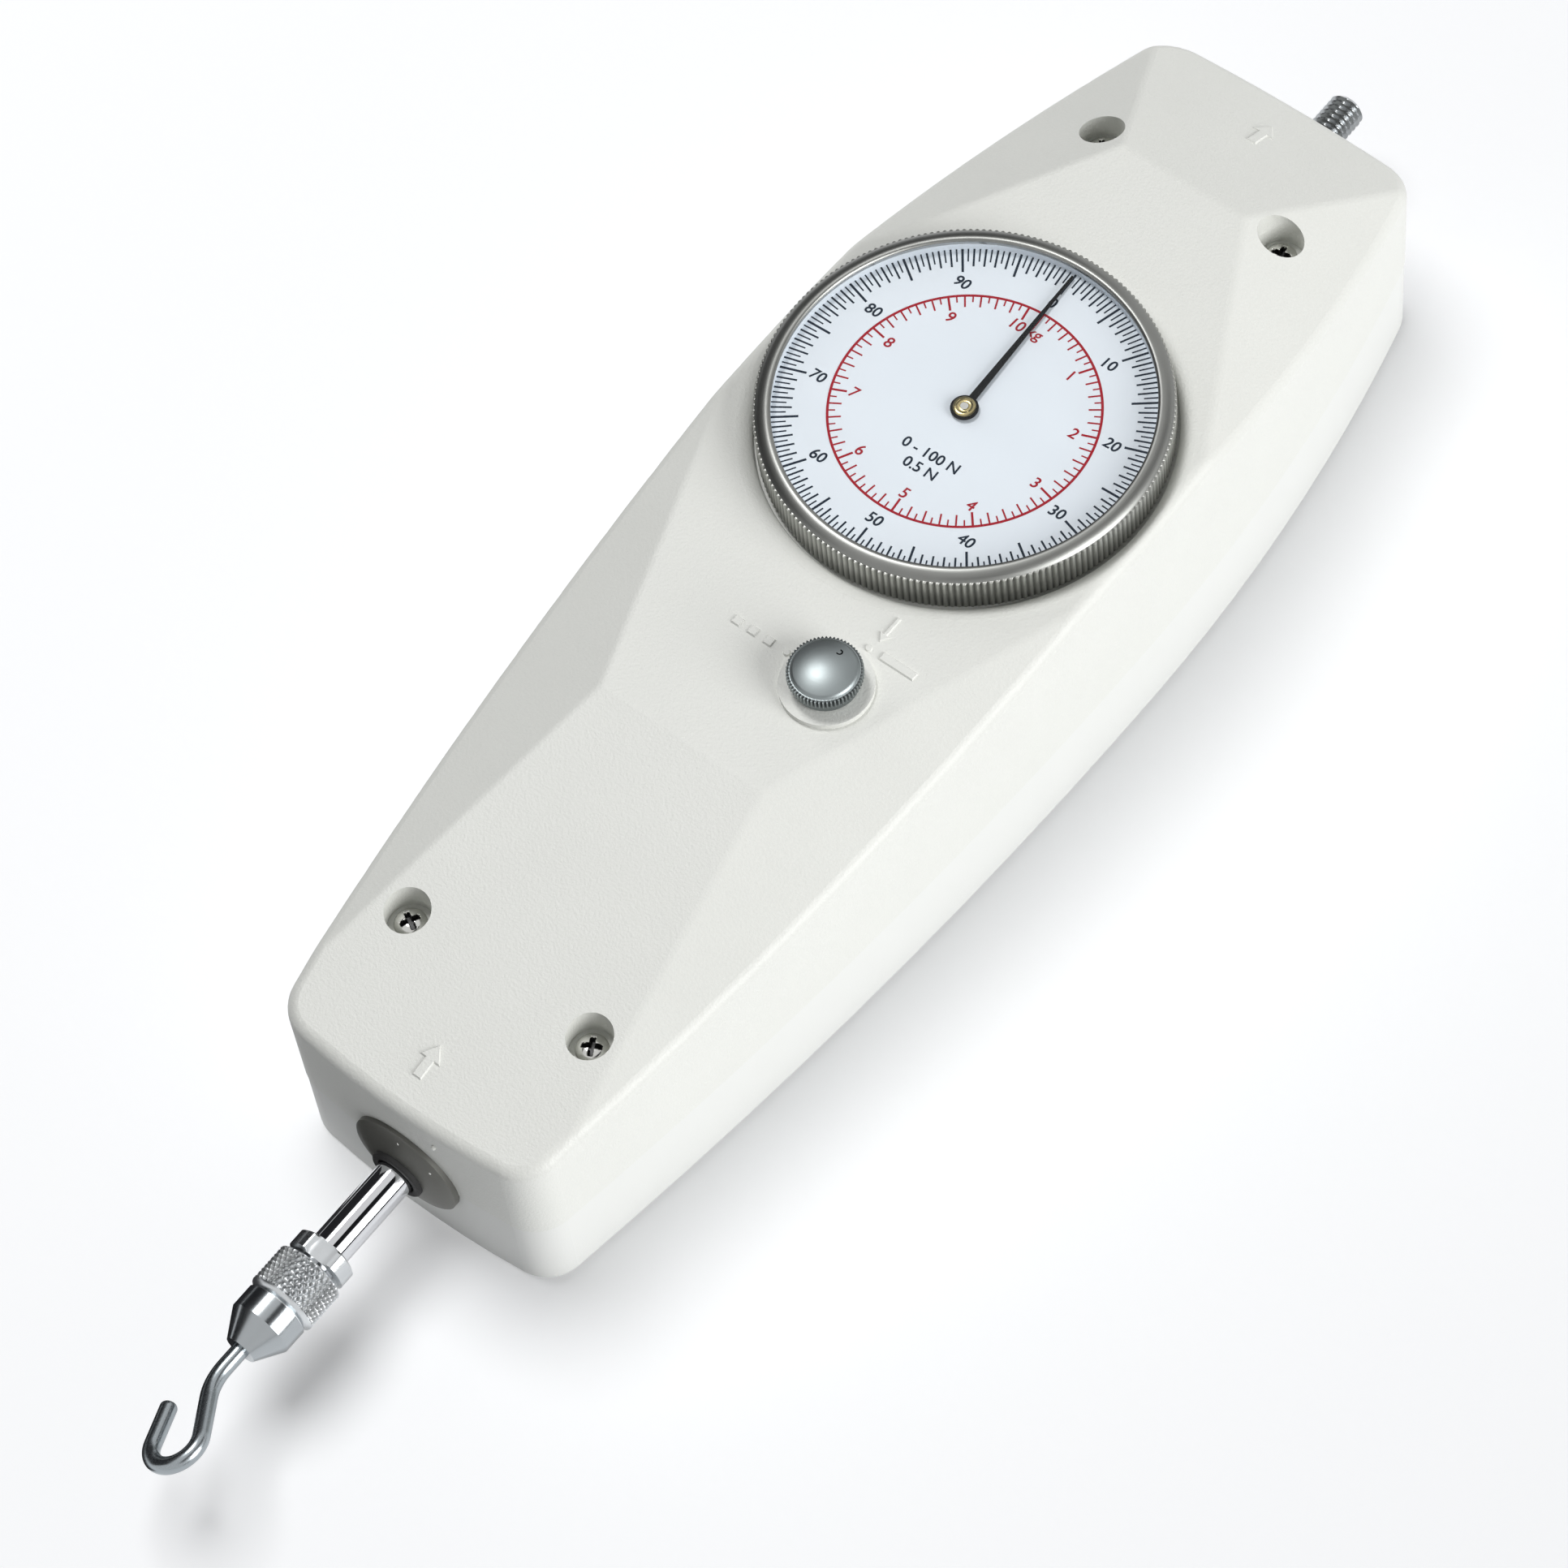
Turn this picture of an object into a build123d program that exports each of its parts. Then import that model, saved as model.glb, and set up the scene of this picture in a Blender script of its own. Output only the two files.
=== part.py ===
from build123d import *
import math
import os

# Mechanical force gauge, 100 N over a 10 mm stroke, read on one turn of the pointer.
# Millimetres. x right, +y toward the stud end, +z up out of the dial.
# The origin is the middle of the four mounting holes in the back face.

os.makedirs("parts", exist_ok=True)

# Clearances
FIT = 0.02              # seated pieces of one body
RUN = 0.05              # turning or sliding fits
GAP = 0.3               # pieces that pass each other

# Housing outline, seen from the front
HALF_WIDTH = 33.75
WIDEST_Y = 25.0
END_HALF_WIDTH = 23.4
PUSH_WALL_Y = -106.5
PUSH_BOW = 1.7
PUSH_CORNER_R = 6.5
PULL_WALL_Y = 105.7
PULL_BOW = 1.0
PULL_CORNER_R = 7.5
WALL = 2.2

# Housing heights
PARTING_Z = 16.0
REAR_STEP = 0.1
REAR_EDGE = 0.7
FLOOR = 2.4
TOP_Z = 44.8
CREASE_R = 3.0
RIM_R = 2.0
SHAFT_Z = PARTING_Z

# The moulded top: a plateau with a slope to each end and four side facets
PUSH_CREASE_X = 14.9
PUSH_CREASE_Y = -40.8
PUSH_END_Z = 33.2
PUSH_SIDE_Y = 12.8
PULL_CREASE_X = 11.5
PULL_CREASE_Y = 77.8
PULL_END_Z = 32.3
PULL_SIDE_Y = 36.9

# Dial and bezel
DIAL_Y = 25.0
DIAL_Z = 48.0
BEZEL_R = 30.8
BEZEL_WALL = 1.75
BEZEL_LIP_WALL = 2.7
BEZEL_LIP = 0.4
BEZEL_ROUND = 0.9
DISH_MARGIN = 0.7       # round the bezel, at the dish's floor
DISH_FLARE = 1.8        # wider again at the top
DISH_DEPTH = 1.9
DECK = 2.5
DECK_RIM = 2.4
RETAINER_WALL = 0.75
SEAT_RING_WALL = 2.2
DECK_OPENING_R = 22.0
DIAL_PLATE = 0.8
SPACER = 1.3
SPACER_WALL = 0.7
CRYSTAL = 0.9
POINTER_LIFT = 0.5
POINTER_THICK = 0.25
POINTER_SHORT = 0.6     # inside the bezel's lip
POINTER_ROOT_W = 1.2
POINTER_TIP_W = 0.35
POINTER_START = 2.47    # degrees against the clock from +y, as the dial's zero
HUB_R = 2.1
HUB_HEIGHT = 0.4

# Selector knob
KNOB_X = 11.5
KNOB_Y = -22.0
KNOB_R = 5.6
KNOB_SKIRT_R = 4.9
KNOB_SKIRT = 1.9
KNOB_BAND = 1.6
KNOB_DOME = 1.4
KNOB_PAD_R = 7.0
KNOB_PAD = 1.0
SPINDLE_R = 2.5
SPINDLE_BOSS_R = 5.0
SPINDLE_BOSS_Z = 39.5
CLIP = 0.6
CLIP_R = 4.4
CRANK_R = 1.2
CRANK_PIN_R = 0.8
CRANK_START = 225.0
KNOB_TURN = 90.0

# Measuring shaft, its guides and its spring
STROKE = 10.0
SHAFT_R = 3.0
SHAFT_CENTRE_R = 4.0
SHOULDER_PLAY = 0.2
BUSH_R = 4.0
BUSH_LENGTH = 6.1
SADDLE_R = 7.0
FLANGE_R = 9.2
FLANGE_PROUD = 0.9
FLANGE_SUNK = 0.8
FLANGE_BOSS_R = 4.4
FLANGE_BOSS = 2.0
STUD_END_Y = 120.0
STUD_LENGTH = 9.5
STUD_CHAMFER = 0.6
STUD_RELIEF = 0.8
STUD_RELIEF_R = 2.6
GUIDE_PIN_R = 1.5
GUIDE_PIN_Y = -60.0
GUIDE_PIN_Z = 7.5
GUIDE_WIDTH = 10.0
COIL_R = 6.2
COIL_WIRE_WIDE = 1.6
COIL_WIRE_LONG = 2.0
COIL_TURNS = 6
COIL_START_Y = 58.0
COLLAR_R = 7.4
COLLAR = 3.0
SPRING_SEAT = 1.2

# Adapter and hook at the push end
LOCK_RING_R = 4.8
LOCK_RING_LEAD = 0.6    # from the adapter to the ring
LOCK_RING = 3.1
ADAPTER_R = 5.4
ADAPTER_Y = -127.7
ADAPTER = 6.7
NECK_R = 4.5
NECK = 0.8
NOSE_R = 5.0
NOSE = 3.6
NOSE_CONE = 4.2
NOSE_TIP_R = 2.5
HOOK_WIRE_R = 1.3
HOOK_ROOT = 6.0
HOOK_TILT = 28.0
HOOK_CORNER = 6.1
HOOK_BEND_R = 8.0
HOOK_LEAN = 38.8
HOOK_RUN = 9.9
HOOK_LOOP_R = 4.0
HOOK_TAIL_LEAN = 26.0
HOOK_TAIL = 7.1

# Fasteners and mounting inserts
SCREW_R = 1.5
SCREW_HEAD_R = 2.5
SCREW_HEAD = 1.9
SCREW_LENGTH = 27.0
SCREW_WELL_R = 3.5
SCREW_BOSS_R = 5.0
PUSH_SCREW = (16.8, -82.8, 32.7)      # x, y and the z of the head's seat
PULL_SCREW = (16.6, 79.6, 35.9)
INSERT_X = 16.0
INSERT_Y = 40.0
INSERT_ACROSS = 5.6
INSERT_HOLE_R = 1.65
INSERT_DEPTH = 7.0
INSERT_BOSS_R = 5.2

# Movement: two plates on pillars, a rack, a gear and the pointer's pinion
PLATE_HALF_X = 22.0
PLATE_PUSH_Y = -5.0
PLATE_PULL_Y = 49.0
PLATE_CORNER_R = 5.0
PLATE = 2.0
PLATE_Z = 26.0
BRIDGE_Z = 34.0
PILLAR_X = 18.0
PILLAR_PUSH_Y = 0.0
PILLAR_PULL_Y = 44.0
PILLAR_ACROSS = 4.5
PLATE_BOSS_R = 3.6
PLATE_SCREW_R = 1.25
PLATE_SCREW_HEAD_ACROSS = 4.0
PLATE_SCREW_HEAD = 1.3
PLATE_SCREW_BITE = 5.0
ARBOR_R = 1.0
ARBOR_COLLAR_R = 2.4
ARBOR_TIP_R = 0.6
PRESSURE_ANGLE = math.radians(20)
ADDENDUM = 0.85         # in modules, stubbed so that 16 teeth need no undercut
DEDENDUM = 1.25
GEAR_PLAY = 0.06
RACK_PITCH = 1.25
RACK_TEETH = 14
RACK_Z = 21.5
RACK_HEIGHT = 3.0
RACK_BACK = 3.8
PINION_TEETH = 16
PINION_HEIGHT = 2.4
GEAR_X = -9.0
GEAR_TEETH = 48
CENTRE_TEETH = 24
GEAR_MODULE = 0.4
GEAR_Z = 30.0
GEAR_FACE = 1.5
CARRIER_HALF_X = 6.0
CARRIER_DEPTH = 5.5
RACK_SCREW_R = 1.0
RACK_SCREW_HEAD_R = 1.6
RACK_SCREW_HEAD = 0.8
HAIRSPRING_R = 6.4
HAIRSPRING_BORE_R = 2.2
HAIRSPRING_TURNS = 3
HAIRSPRING_STRIP = 0.25
HAIRSPRING_HEIGHT = 1.0
COLLET_R = 1.8

# Peak-hold lever and its brake
LEVER_X = 9.0
LEVER_Y = 3.0
LEVER = 1.4
LEVER_HUB_R = 4.0
LEVER_ARM = 3.4
LEVER_PIN_R = 1.5
LEVER_PIN_HEAD_R = 2.6
FORK_HALF = 3.0
FORK_PLAY = 0.15
SHOE_GAP = 0.1
SHOE_HALF = 3.2

# Worked out from the sizes above
PUSH_CORNER_Y = PUSH_WALL_Y + PUSH_BOW
PULL_CORNER_Y = PULL_WALL_Y - PULL_BOW
PUSH_FLANGE_Y = PUSH_WALL_Y + FLANGE_SUNK
PULL_FLANGE_Y = PULL_WALL_Y - FLANGE_SUNK
PUSH_BUSH_Y = PUSH_FLANGE_Y + BUSH_LENGTH
PULL_BUSH_Y = PULL_FLANGE_Y - BUSH_LENGTH - GAP
SHOULDER_Y = PUSH_BUSH_Y + SHOULDER_PLAY
PULL_SHOULDER_Y = PULL_BUSH_Y - STROKE - 2 * GAP
DISH_FLOOR_R = BEZEL_R + DISH_MARGIN
BEZEL_BORE_R = BEZEL_R - BEZEL_WALL
BEZEL_LIP_R = BEZEL_R - BEZEL_LIP_WALL
SEAT_RING_R = BEZEL_BORE_R - RETAINER_WALL - 2 * RUN
POINTER_R = BEZEL_LIP_R - POINTER_SHORT
DISH_Z = TOP_Z - DISH_DEPTH
DECK_Z = DISH_Z - DECK
DIAL_BACK_Z = DIAL_Z - DIAL_PLATE
CRYSTAL_Z = DIAL_Z + SPACER
LIP_Z = CRYSTAL_Z + CRYSTAL
DIAL_R = BEZEL_BORE_R - RUN
KNOB_Z = TOP_Z + KNOB_PAD + GAP
LEVER_Z = PLATE_Z + PLATE + 0.4
CRANK_Z = LEVER_Z - 0.2
LOCK_RING_Y = ADAPTER_Y + LOCK_RING_LEAD + LOCK_RING
NOSE_Y = ADAPTER_Y - ADAPTER - NECK
CONE_Y = NOSE_Y - NOSE
NOSE_END_Y = CONE_Y - NOSE_CONE
SHAFT_END_Y = ADAPTER_Y - 0.8 * ADAPTER
PINION_R = RACK_PITCH * PINION_TEETH / math.tau
GEAR_R = GEAR_MODULE * GEAR_TEETH / 2
CENTRE_R = GEAR_MODULE * CENTRE_TEETH / 2
GEAR_Y = DIAL_Y - math.sqrt((GEAR_R + CENTRE_R) ** 2 - GEAR_X ** 2)
RACK_X = GEAR_X + PINION_R
RACK_Y = GEAR_Y - STROKE / 2
PINION_Z = RACK_Z + GAP
COIL_END_Y = PULL_BUSH_Y - GAP - SPRING_SEAT


def post(radius, bottom, top, x=0.0, y=0.0, bore=0.0):
    """Upright bar or tube."""
    section = Circle(radius) - Circle(bore) if bore else Circle(radius)
    return extrude(Pos(x, y, bottom) * section, top - bottom)


def hex_post(across, bottom, top, x=0.0, y=0.0, bore=0.0):
    """Upright hexagonal bar or nut, by its width across flats."""
    section = RegularPolygon(across / 2, 6, major_radius=False)
    if bore:
        section -= Circle(bore)
    return extrude(Pos(x, y, bottom) * section, top - bottom)


def bar(radius, start, end, bore=0.0):
    """Bar or tube along the shaft's axis, from one y to another."""
    section = Circle(radius) - Circle(bore) if bore else Circle(radius)
    return extrude(Plane.XZ.offset(-start) * Pos(0, SHAFT_Z) * section, start - end)


def turned(points, x=0.0, y=0.0):
    """Piece turned about an upright axis, from its (radius, z) outline."""
    outline = Plane.XZ * make_face(Polyline(*points, close=True))
    return Pos(x, y) * revolve(outline, Axis.Z)


def slab(left, right, front, back, bottom, top):
    """Block between six flat faces."""
    centre = ((left + right) / 2, (front + back) / 2, (bottom + top) / 2)
    return Pos(*centre) * Box(right - left, back - front, top - bottom)


# Housing ---------------------------------------------------------------------

def plan(inset=0.0):
    """Outline of the housing: two arcs a side, closed by two bowed ends."""
    wide = (HALF_WIDTH - inset, WIDEST_Y)
    push = (END_HALF_WIDTH - inset, PUSH_CORNER_Y + inset)
    pull = (END_HALF_WIDTH - inset, PULL_CORNER_Y - inset)
    sides = TangentArc(wide, push, tangent=(0, -1)) + TangentArc(wide, pull, tangent=(0, 1))
    ends = [
        ThreePointArc(corner, (0, corner[1] + bow), (-corner[0], corner[1]))
        for corner, bow in ((push, -PUSH_BOW), (pull, PULL_BOW))
    ]
    face = make_face(sides + mirror(sides, Plane.YZ) + ends)
    face = fillet(face.vertices().group_by(Axis.Y)[0], PUSH_CORNER_R - inset)
    return fillet(face.vertices().group_by(Axis.Y)[-1], PULL_CORNER_R - inset)


def through(a, b, c):
    """Plane through three points, facing up."""
    a, b, c = Vector(*a), Vector(*b), Vector(*c)
    up = (b - a).cross(c - a)
    return Plane(origin=a, x_dir=b - a, z_dir=up if up.Z > 0 else -up)


def top_planes():
    """The flat faces that shape the top."""
    planes = [Plane.XY.offset(TOP_Z)]
    for x, y, wall, end, side in (
        (PUSH_CREASE_X, PUSH_CREASE_Y, PUSH_WALL_Y, PUSH_END_Z, PUSH_SIDE_Y),
        (PULL_CREASE_X, PULL_CREASE_Y, PULL_WALL_Y, PULL_END_Z, PULL_SIDE_Y),
    ):
        planes.append(through((-x, y, TOP_Z), (x, y, TOP_Z), (0, wall, end)))
        for hand in (-1, 1):
            widest = (hand * HALF_WIDTH, side, TOP_Z)
            corner = (hand * (END_HALF_WIDTH + 2), wall, end)
            planes.append(through((hand * x, y, TOP_Z), widest, corner))
    return planes


def moulding(inset=0.0):
    """The front half's form, with every face moved in by the inset."""
    form = extrude(Pos(0, 0, PARTING_Z) * plan(inset), TOP_Z)
    for plane in top_planes():
        form = split(form, bisect_by=plane.offset(-inset), keep=Keep.BOTTOM)
    return form


def top_edges(form):
    """The creases between the top's faces, and the rim where they meet the side wall."""
    top = form.faces().filter_by(lambda face: face.normal_at().Z > 0.5).edges()
    wall = form.faces().filter_by(lambda face: abs(face.normal_at().Z) < 0.1).edges()
    edges = [edge for edge in form.edges() if edge in top]
    return [e for e in edges if e not in wall], [e for e in edges if e in wall]


def corners(x, y):
    """A point and its mirror image across the housing."""
    return [(x, y), (-x, y)]


def saddles():
    """Blocks inside the end walls that hold the shaft's bushes."""
    push = bar(SADDLE_R, PUSH_FLANGE_Y, PUSH_BUSH_Y)
    pull = bar(SADDLE_R, PULL_BUSH_Y - GAP, PULL_FLANGE_Y)
    return push + pull


def shaft_cuts():
    """Bores for the bushes and recesses for the flanges, cut in both halves."""
    bore = bar(BUSH_R + FIT, PUSH_WALL_Y - 1, PUSH_BUSH_Y + 1)
    bore += bar(BUSH_R + FIT, PULL_BUSH_Y - 1, PULL_WALL_Y + 1)
    push = bar(FLANGE_R + FIT, PUSH_WALL_Y - 1, PUSH_FLANGE_Y)
    return bore + push + bar(FLANGE_R + FIT, PULL_FLANGE_Y, PULL_WALL_Y + 1)


def make_front_housing():
    outer = moulding()
    outer = fillet(top_edges(outer)[0], CREASE_R)
    outer = fillet(top_edges(outer)[1], RIM_R)
    outer += post(KNOB_PAD_R, TOP_Z - 1, TOP_Z + KNOB_PAD, KNOB_X, KNOB_Y)
    standing = saddles() + post(DISH_FLOOR_R + DECK_RIM, DECK_Z, TOP_Z, 0, DIAL_Y)
    standing += post(SPINDLE_BOSS_R, SPINDLE_BOSS_Z, TOP_Z, KNOB_X, KNOB_Y)
    for x, y, _ in (PUSH_SCREW, PULL_SCREW):
        for place in corners(x, y):
            standing += post(SCREW_BOSS_R, PARTING_Z, TOP_Z, *place)
    for y in (PILLAR_PUSH_Y, PILLAR_PULL_Y):
        for place in corners(PILLAR_X, y):
            standing += post(PLATE_BOSS_R, BRIDGE_Z + PLATE, TOP_Z, *place)
    body = outer - (moulding(WALL) - standing)

    wide = DISH_FLOOR_R + 2 * DISH_FLARE
    body -= turned(
        [(0, DISH_Z), (DISH_FLOOR_R, DISH_Z), (wide, DISH_Z + 2 * DISH_DEPTH), (0, DISH_Z + 2 * DISH_DEPTH)],
        0,
        DIAL_Y,
    )
    ring = (SEAT_RING_R, DISH_Z, DIAL_BACK_Z - GAP, 0, DIAL_Y, SEAT_RING_R - SEAT_RING_WALL)
    body += post(*ring)
    body -= post(DECK_OPENING_R, DECK_Z - 1, TOP_Z, 0, DIAL_Y)
    body -= post(SPINDLE_R + RUN, SPINDLE_BOSS_Z - 1, KNOB_Z, KNOB_X, KNOB_Y)
    for x, y, seat in (PUSH_SCREW, PULL_SCREW):
        for place in corners(x, y):
            body -= post(SCREW_WELL_R, seat, TOP_Z + 1, *place)
            body -= post(SCREW_R + RUN, PARTING_Z - 1, TOP_Z, *place)
    for y in (PILLAR_PUSH_Y, PILLAR_PULL_Y):
        for place in corners(PILLAR_X, y):
            top = BRIDGE_Z + PLATE + PLATE_SCREW_BITE + GAP
            body -= post(PLATE_SCREW_R + FIT, BRIDGE_Z, top, *place)
    return body - shaft_cuts()


def make_rear_cover():
    outer = extrude(plan(REAR_STEP), PARTING_Z)
    outer = chamfer(outer.faces().sort_by(Axis.Z)[0].edges(), REAR_EDGE)
    standing = saddles()
    for x, y, _ in (PUSH_SCREW, PULL_SCREW):
        for place in corners(x, y):
            standing += post(SCREW_BOSS_R, 0, PARTING_Z, *place)
    for y in (-INSERT_Y, INSERT_Y):
        for place in corners(INSERT_X, y):
            standing += post(INSERT_BOSS_R, 0, INSERT_DEPTH + FLOOR, *place)
    guide_top = SHAFT_Z - SHAFT_CENTRE_R - GAP
    margin = GUIDE_PIN_R + 2.5
    start, end = GUIDE_PIN_Y - margin, GUIDE_PIN_Y + STROKE + margin
    standing += slab(-GUIDE_WIDTH / 2, GUIDE_WIDTH / 2, start, end, 0, guide_top)
    cavity = extrude(Pos(0, 0, FLOOR) * plan(REAR_STEP + WALL), PARTING_Z)
    body = outer - (cavity - standing)

    slot = SlotCenterToCenter(STROKE + 2 * GAP, 2 * (GUIDE_PIN_R + RUN), rotation=90)
    middle = Pos(0, GUIDE_PIN_Y + STROKE / 2, GUIDE_PIN_Z - GAP)
    body -= extrude(middle * slot, PARTING_Z)
    for x, y, seat in (PUSH_SCREW, PULL_SCREW):
        for place in corners(x, y):
            body -= post(SCREW_R + FIT, seat - SCREW_LENGTH - GAP, PARTING_Z + 1, *place)
    for y in (-INSERT_Y, INSERT_Y):
        for place in corners(INSERT_X, y):
            body -= hex_post(INSERT_ACROSS + 2 * FIT, -1, INSERT_DEPTH, *place)
    return body - shaft_cuts()


def make_housing_screws():
    screws = []
    for x, y, seat in (PUSH_SCREW, PULL_SCREW):
        for place in corners(x, y):
            head = post(SCREW_HEAD_R, seat, seat + SCREW_HEAD, *place)
            screws.append(head + post(SCREW_R, seat - SCREW_LENGTH, seat, *place))
    return screws


def make_mounting_inserts():
    places = corners(INSERT_X, -INSERT_Y) + corners(INSERT_X, INSERT_Y)
    size = (INSERT_ACROSS, 0, INSERT_DEPTH)
    return [hex_post(*size, *place, bore=INSERT_HOLE_R) for place in places]


def make_flange(seat, way):
    """Flange plate on an end wall, facing out along y by way."""
    face = seat + way * (FLANGE_SUNK + FLANGE_PROUD)
    plate = bar(FLANGE_R, seat, face, bore=SHAFT_R + GAP)
    plate = chamfer(plate.edges().group_by(Axis.Y)[min(way, 0)].sort_by(SortBy.LENGTH)[-1], 0.3)
    return plate + bar(FLANGE_BOSS_R, face, face + way * FLANGE_BOSS, bore=SHAFT_R + GAP)


def make_shaft_bushes():
    push = bar(BUSH_R, PUSH_FLANGE_Y, PUSH_BUSH_Y, bore=SHAFT_R + RUN)
    return [push, bar(BUSH_R, PULL_BUSH_Y, PULL_FLANGE_Y, bore=SHAFT_R + RUN)]


# Movement --------------------------------------------------------------------

def pillar_places():
    return corners(PILLAR_X, PILLAR_PUSH_Y) + corners(PILLAR_X, PILLAR_PULL_Y)


def plate_blank(bottom):
    """Movement plate with its pillar holes and the two arbors' bearing holes."""
    length = PLATE_PULL_Y - PLATE_PUSH_Y
    outline = RectangleRounded(2 * PLATE_HALF_X, length, PLATE_CORNER_R)
    plate = extrude(Pos(0, PLATE_PUSH_Y + length / 2, bottom) * outline, PLATE)
    for place in pillar_places():
        plate -= post(PLATE_SCREW_R + RUN, bottom - 1, bottom + PLATE + 1, *place)
    for place in ((GEAR_X, GEAR_Y), (0, DIAL_Y)):
        plate -= post(ARBOR_R + RUN, bottom - 1, bottom + PLATE + 1, *place)
    return plate


def make_movement_plate():
    return plate_blank(PLATE_Z) - post(
        LEVER_PIN_R + FIT, PLATE_Z - 1, PLATE_Z + PLATE + 1, LEVER_X, LEVER_Y
    )


def make_bridge_plate():
    """Upper plate, notched over the lever's hub."""
    half = LEVER_HUB_R + 1
    notch = slab(
        LEVER_X - half, LEVER_X + half, PLATE_PUSH_Y - 1, LEVER_Y + half,
        BRIDGE_Z - 1, BRIDGE_Z + PLATE + 1,
    )
    return plate_blank(BRIDGE_Z) - notch


def make_plate_pillars():
    bottom = PLATE_Z + PLATE
    bore = PLATE_SCREW_R + RUN
    size = (PILLAR_ACROSS, bottom, BRIDGE_Z)
    return [hex_post(*size, *place, bore=bore) for place in pillar_places()]


def make_plate_screws():
    screws = []
    for place in pillar_places():
        shank = post(PLATE_SCREW_R, PLATE_Z, BRIDGE_Z + PLATE + PLATE_SCREW_BITE, *place)
        head = hex_post(PLATE_SCREW_HEAD_ACROSS, PLATE_Z - PLATE_SCREW_HEAD, PLATE_Z, *place)
        screws.append(shank + head)
    return screws


def polar(radius, angle):
    return (radius * math.cos(angle), radius * math.sin(angle))


def gear_face(teeth, pitch_radius, phase):
    """Involute gear outline with one tooth centred on the phase angle."""
    module = 2 * pitch_radius / teeth
    base = pitch_radius * math.cos(PRESSURE_ANGLE)
    tip = pitch_radius + ADDENDUM * module
    root = pitch_radius - DEDENDUM * module
    roll = math.tan(PRESSURE_ANGLE) - PRESSURE_ANGLE

    def half(radius):
        """Half of the tooth's angle at this radius."""
        pressure = math.acos(min(1, base / radius))
        flank = roll - math.tan(pressure) + pressure
        return (math.pi / 2 - GEAR_PLAY / module) / teeth + flank

    foot = max(base, root)
    edges = []
    for tooth in range(teeth):
        centre = phase + tooth * math.tau / teeth
        sides = []
        for hand in (-1, 1):
            low = centre + hand * half(foot)
            flank = [polar(r, centre + hand * half(r)) for r in (foot, pitch_radius, tip)]
            edges += Polyline(*flank).edges()
            if foot > root:
                edges.append(Line(polar(root, low), flank[0]))
            sides.append((polar(root, low), flank[-1]))
        edges.append(Line(sides[0][1], sides[1][1]))
        following = centre + math.tau / teeth - half(foot)
        edges.append(Line(sides[1][0], polar(root, following)))
    return make_face(Wire(edges).edges())


def make_gear_arbor():
    arbor = post(ARBOR_R, PINION_Z - GAP, BRIDGE_Z + PLATE, GEAR_X, GEAR_Y)
    return arbor + post(ARBOR_COLLAR_R, PLATE_Z + PLATE + GAP, GEAR_Z, GEAR_X, GEAR_Y)


def make_rack_pinion():
    """Pinion in mesh with the rack, under a plain hub."""
    face = gear_face(PINION_TEETH, PINION_R, 0.0) - Circle(ARBOR_R + FIT)
    pinion = extrude(Pos(GEAR_X, GEAR_Y, PINION_Z) * face, PINION_HEIGHT)
    top = PINION_Z + PINION_HEIGHT
    return pinion + post(
        0.6 * PINION_R, top, PLATE_Z - GAP, GEAR_X, GEAR_Y, bore=ARBOR_R + FIT
    )


def mesh_angle():
    """Direction from the drive gear's centre to the pointer's."""
    return math.atan2(DIAL_Y - GEAR_Y, -GEAR_X)


def make_drive_gear():
    """Gear on the rack pinion's arbor, with a tooth on the line of centres."""
    face = gear_face(GEAR_TEETH, GEAR_R, mesh_angle()) - Circle(ARBOR_R + FIT)
    return extrude(Pos(GEAR_X, GEAR_Y, GEAR_Z) * face, GEAR_FACE)


def make_pointer_arbor():
    """Arbor from the lower plate to the pointer, with the hairspring's collet."""
    collet = GEAR_Z + GEAR_FACE + GAP
    seat = DIAL_Z + POINTER_LIFT
    arbor = post(ARBOR_R, PLATE_Z + GAP, seat, 0, DIAL_Y)
    arbor += post(ARBOR_COLLAR_R, PLATE_Z + PLATE + GAP, GEAR_Z, 0, DIAL_Y)
    arbor += post(COLLET_R, collet, BRIDGE_Z - GAP, 0, DIAL_Y)
    return arbor + post(ARBOR_TIP_R, seat, seat + POINTER_THICK + HUB_HEIGHT, 0, DIAL_Y)


def make_centre_pinion():
    gap_phase = mesh_angle() + math.pi + math.pi / CENTRE_TEETH
    face = gear_face(CENTRE_TEETH, CENTRE_R, gap_phase) - Circle(ARBOR_R + FIT)
    return extrude(Pos(0, DIAL_Y, GEAR_Z) * face, GEAR_FACE)


def stud_place():
    return (HAIRSPRING_R + ARBOR_R, DIAL_Y)


def make_hairspring():
    """Flat spiral from the collet to its stud, which takes up the train's backlash."""
    growth = (HAIRSPRING_R - HAIRSPRING_BORE_R) / HAIRSPRING_TURNS
    steps = 12 * HAIRSPRING_TURNS
    inner, outer = [], []
    for step in range(steps + 1):
        turns = step / 12
        radius = HAIRSPRING_BORE_R + growth * turns
        inner.append(polar(radius - HAIRSPRING_STRIP, math.tau * turns))
        outer.append(polar(radius, math.tau * turns))
    ends = [Line(inner[0], outer[0]), Line(inner[-1], outer[-1])]
    strip = make_face(Polyline(*inner) + Polyline(*outer) + ends)
    top = BRIDGE_Z - GAP
    return extrude(Pos(0, DIAL_Y, top - HAIRSPRING_HEIGHT) * strip, HAIRSPRING_HEIGHT)


def make_hairspring_stud():
    bottom = BRIDGE_Z - 2 * GAP - HAIRSPRING_HEIGHT
    return post(ARBOR_R, bottom, BRIDGE_Z, *stud_place())


# Peak-hold lever -------------------------------------------------------------

def crank_place():
    """Where the knob's crank pin stands at rest."""
    offset = polar(CRANK_R, math.radians(CRANK_START))
    return (KNOB_X + offset[0], KNOB_Y + offset[1])


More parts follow.
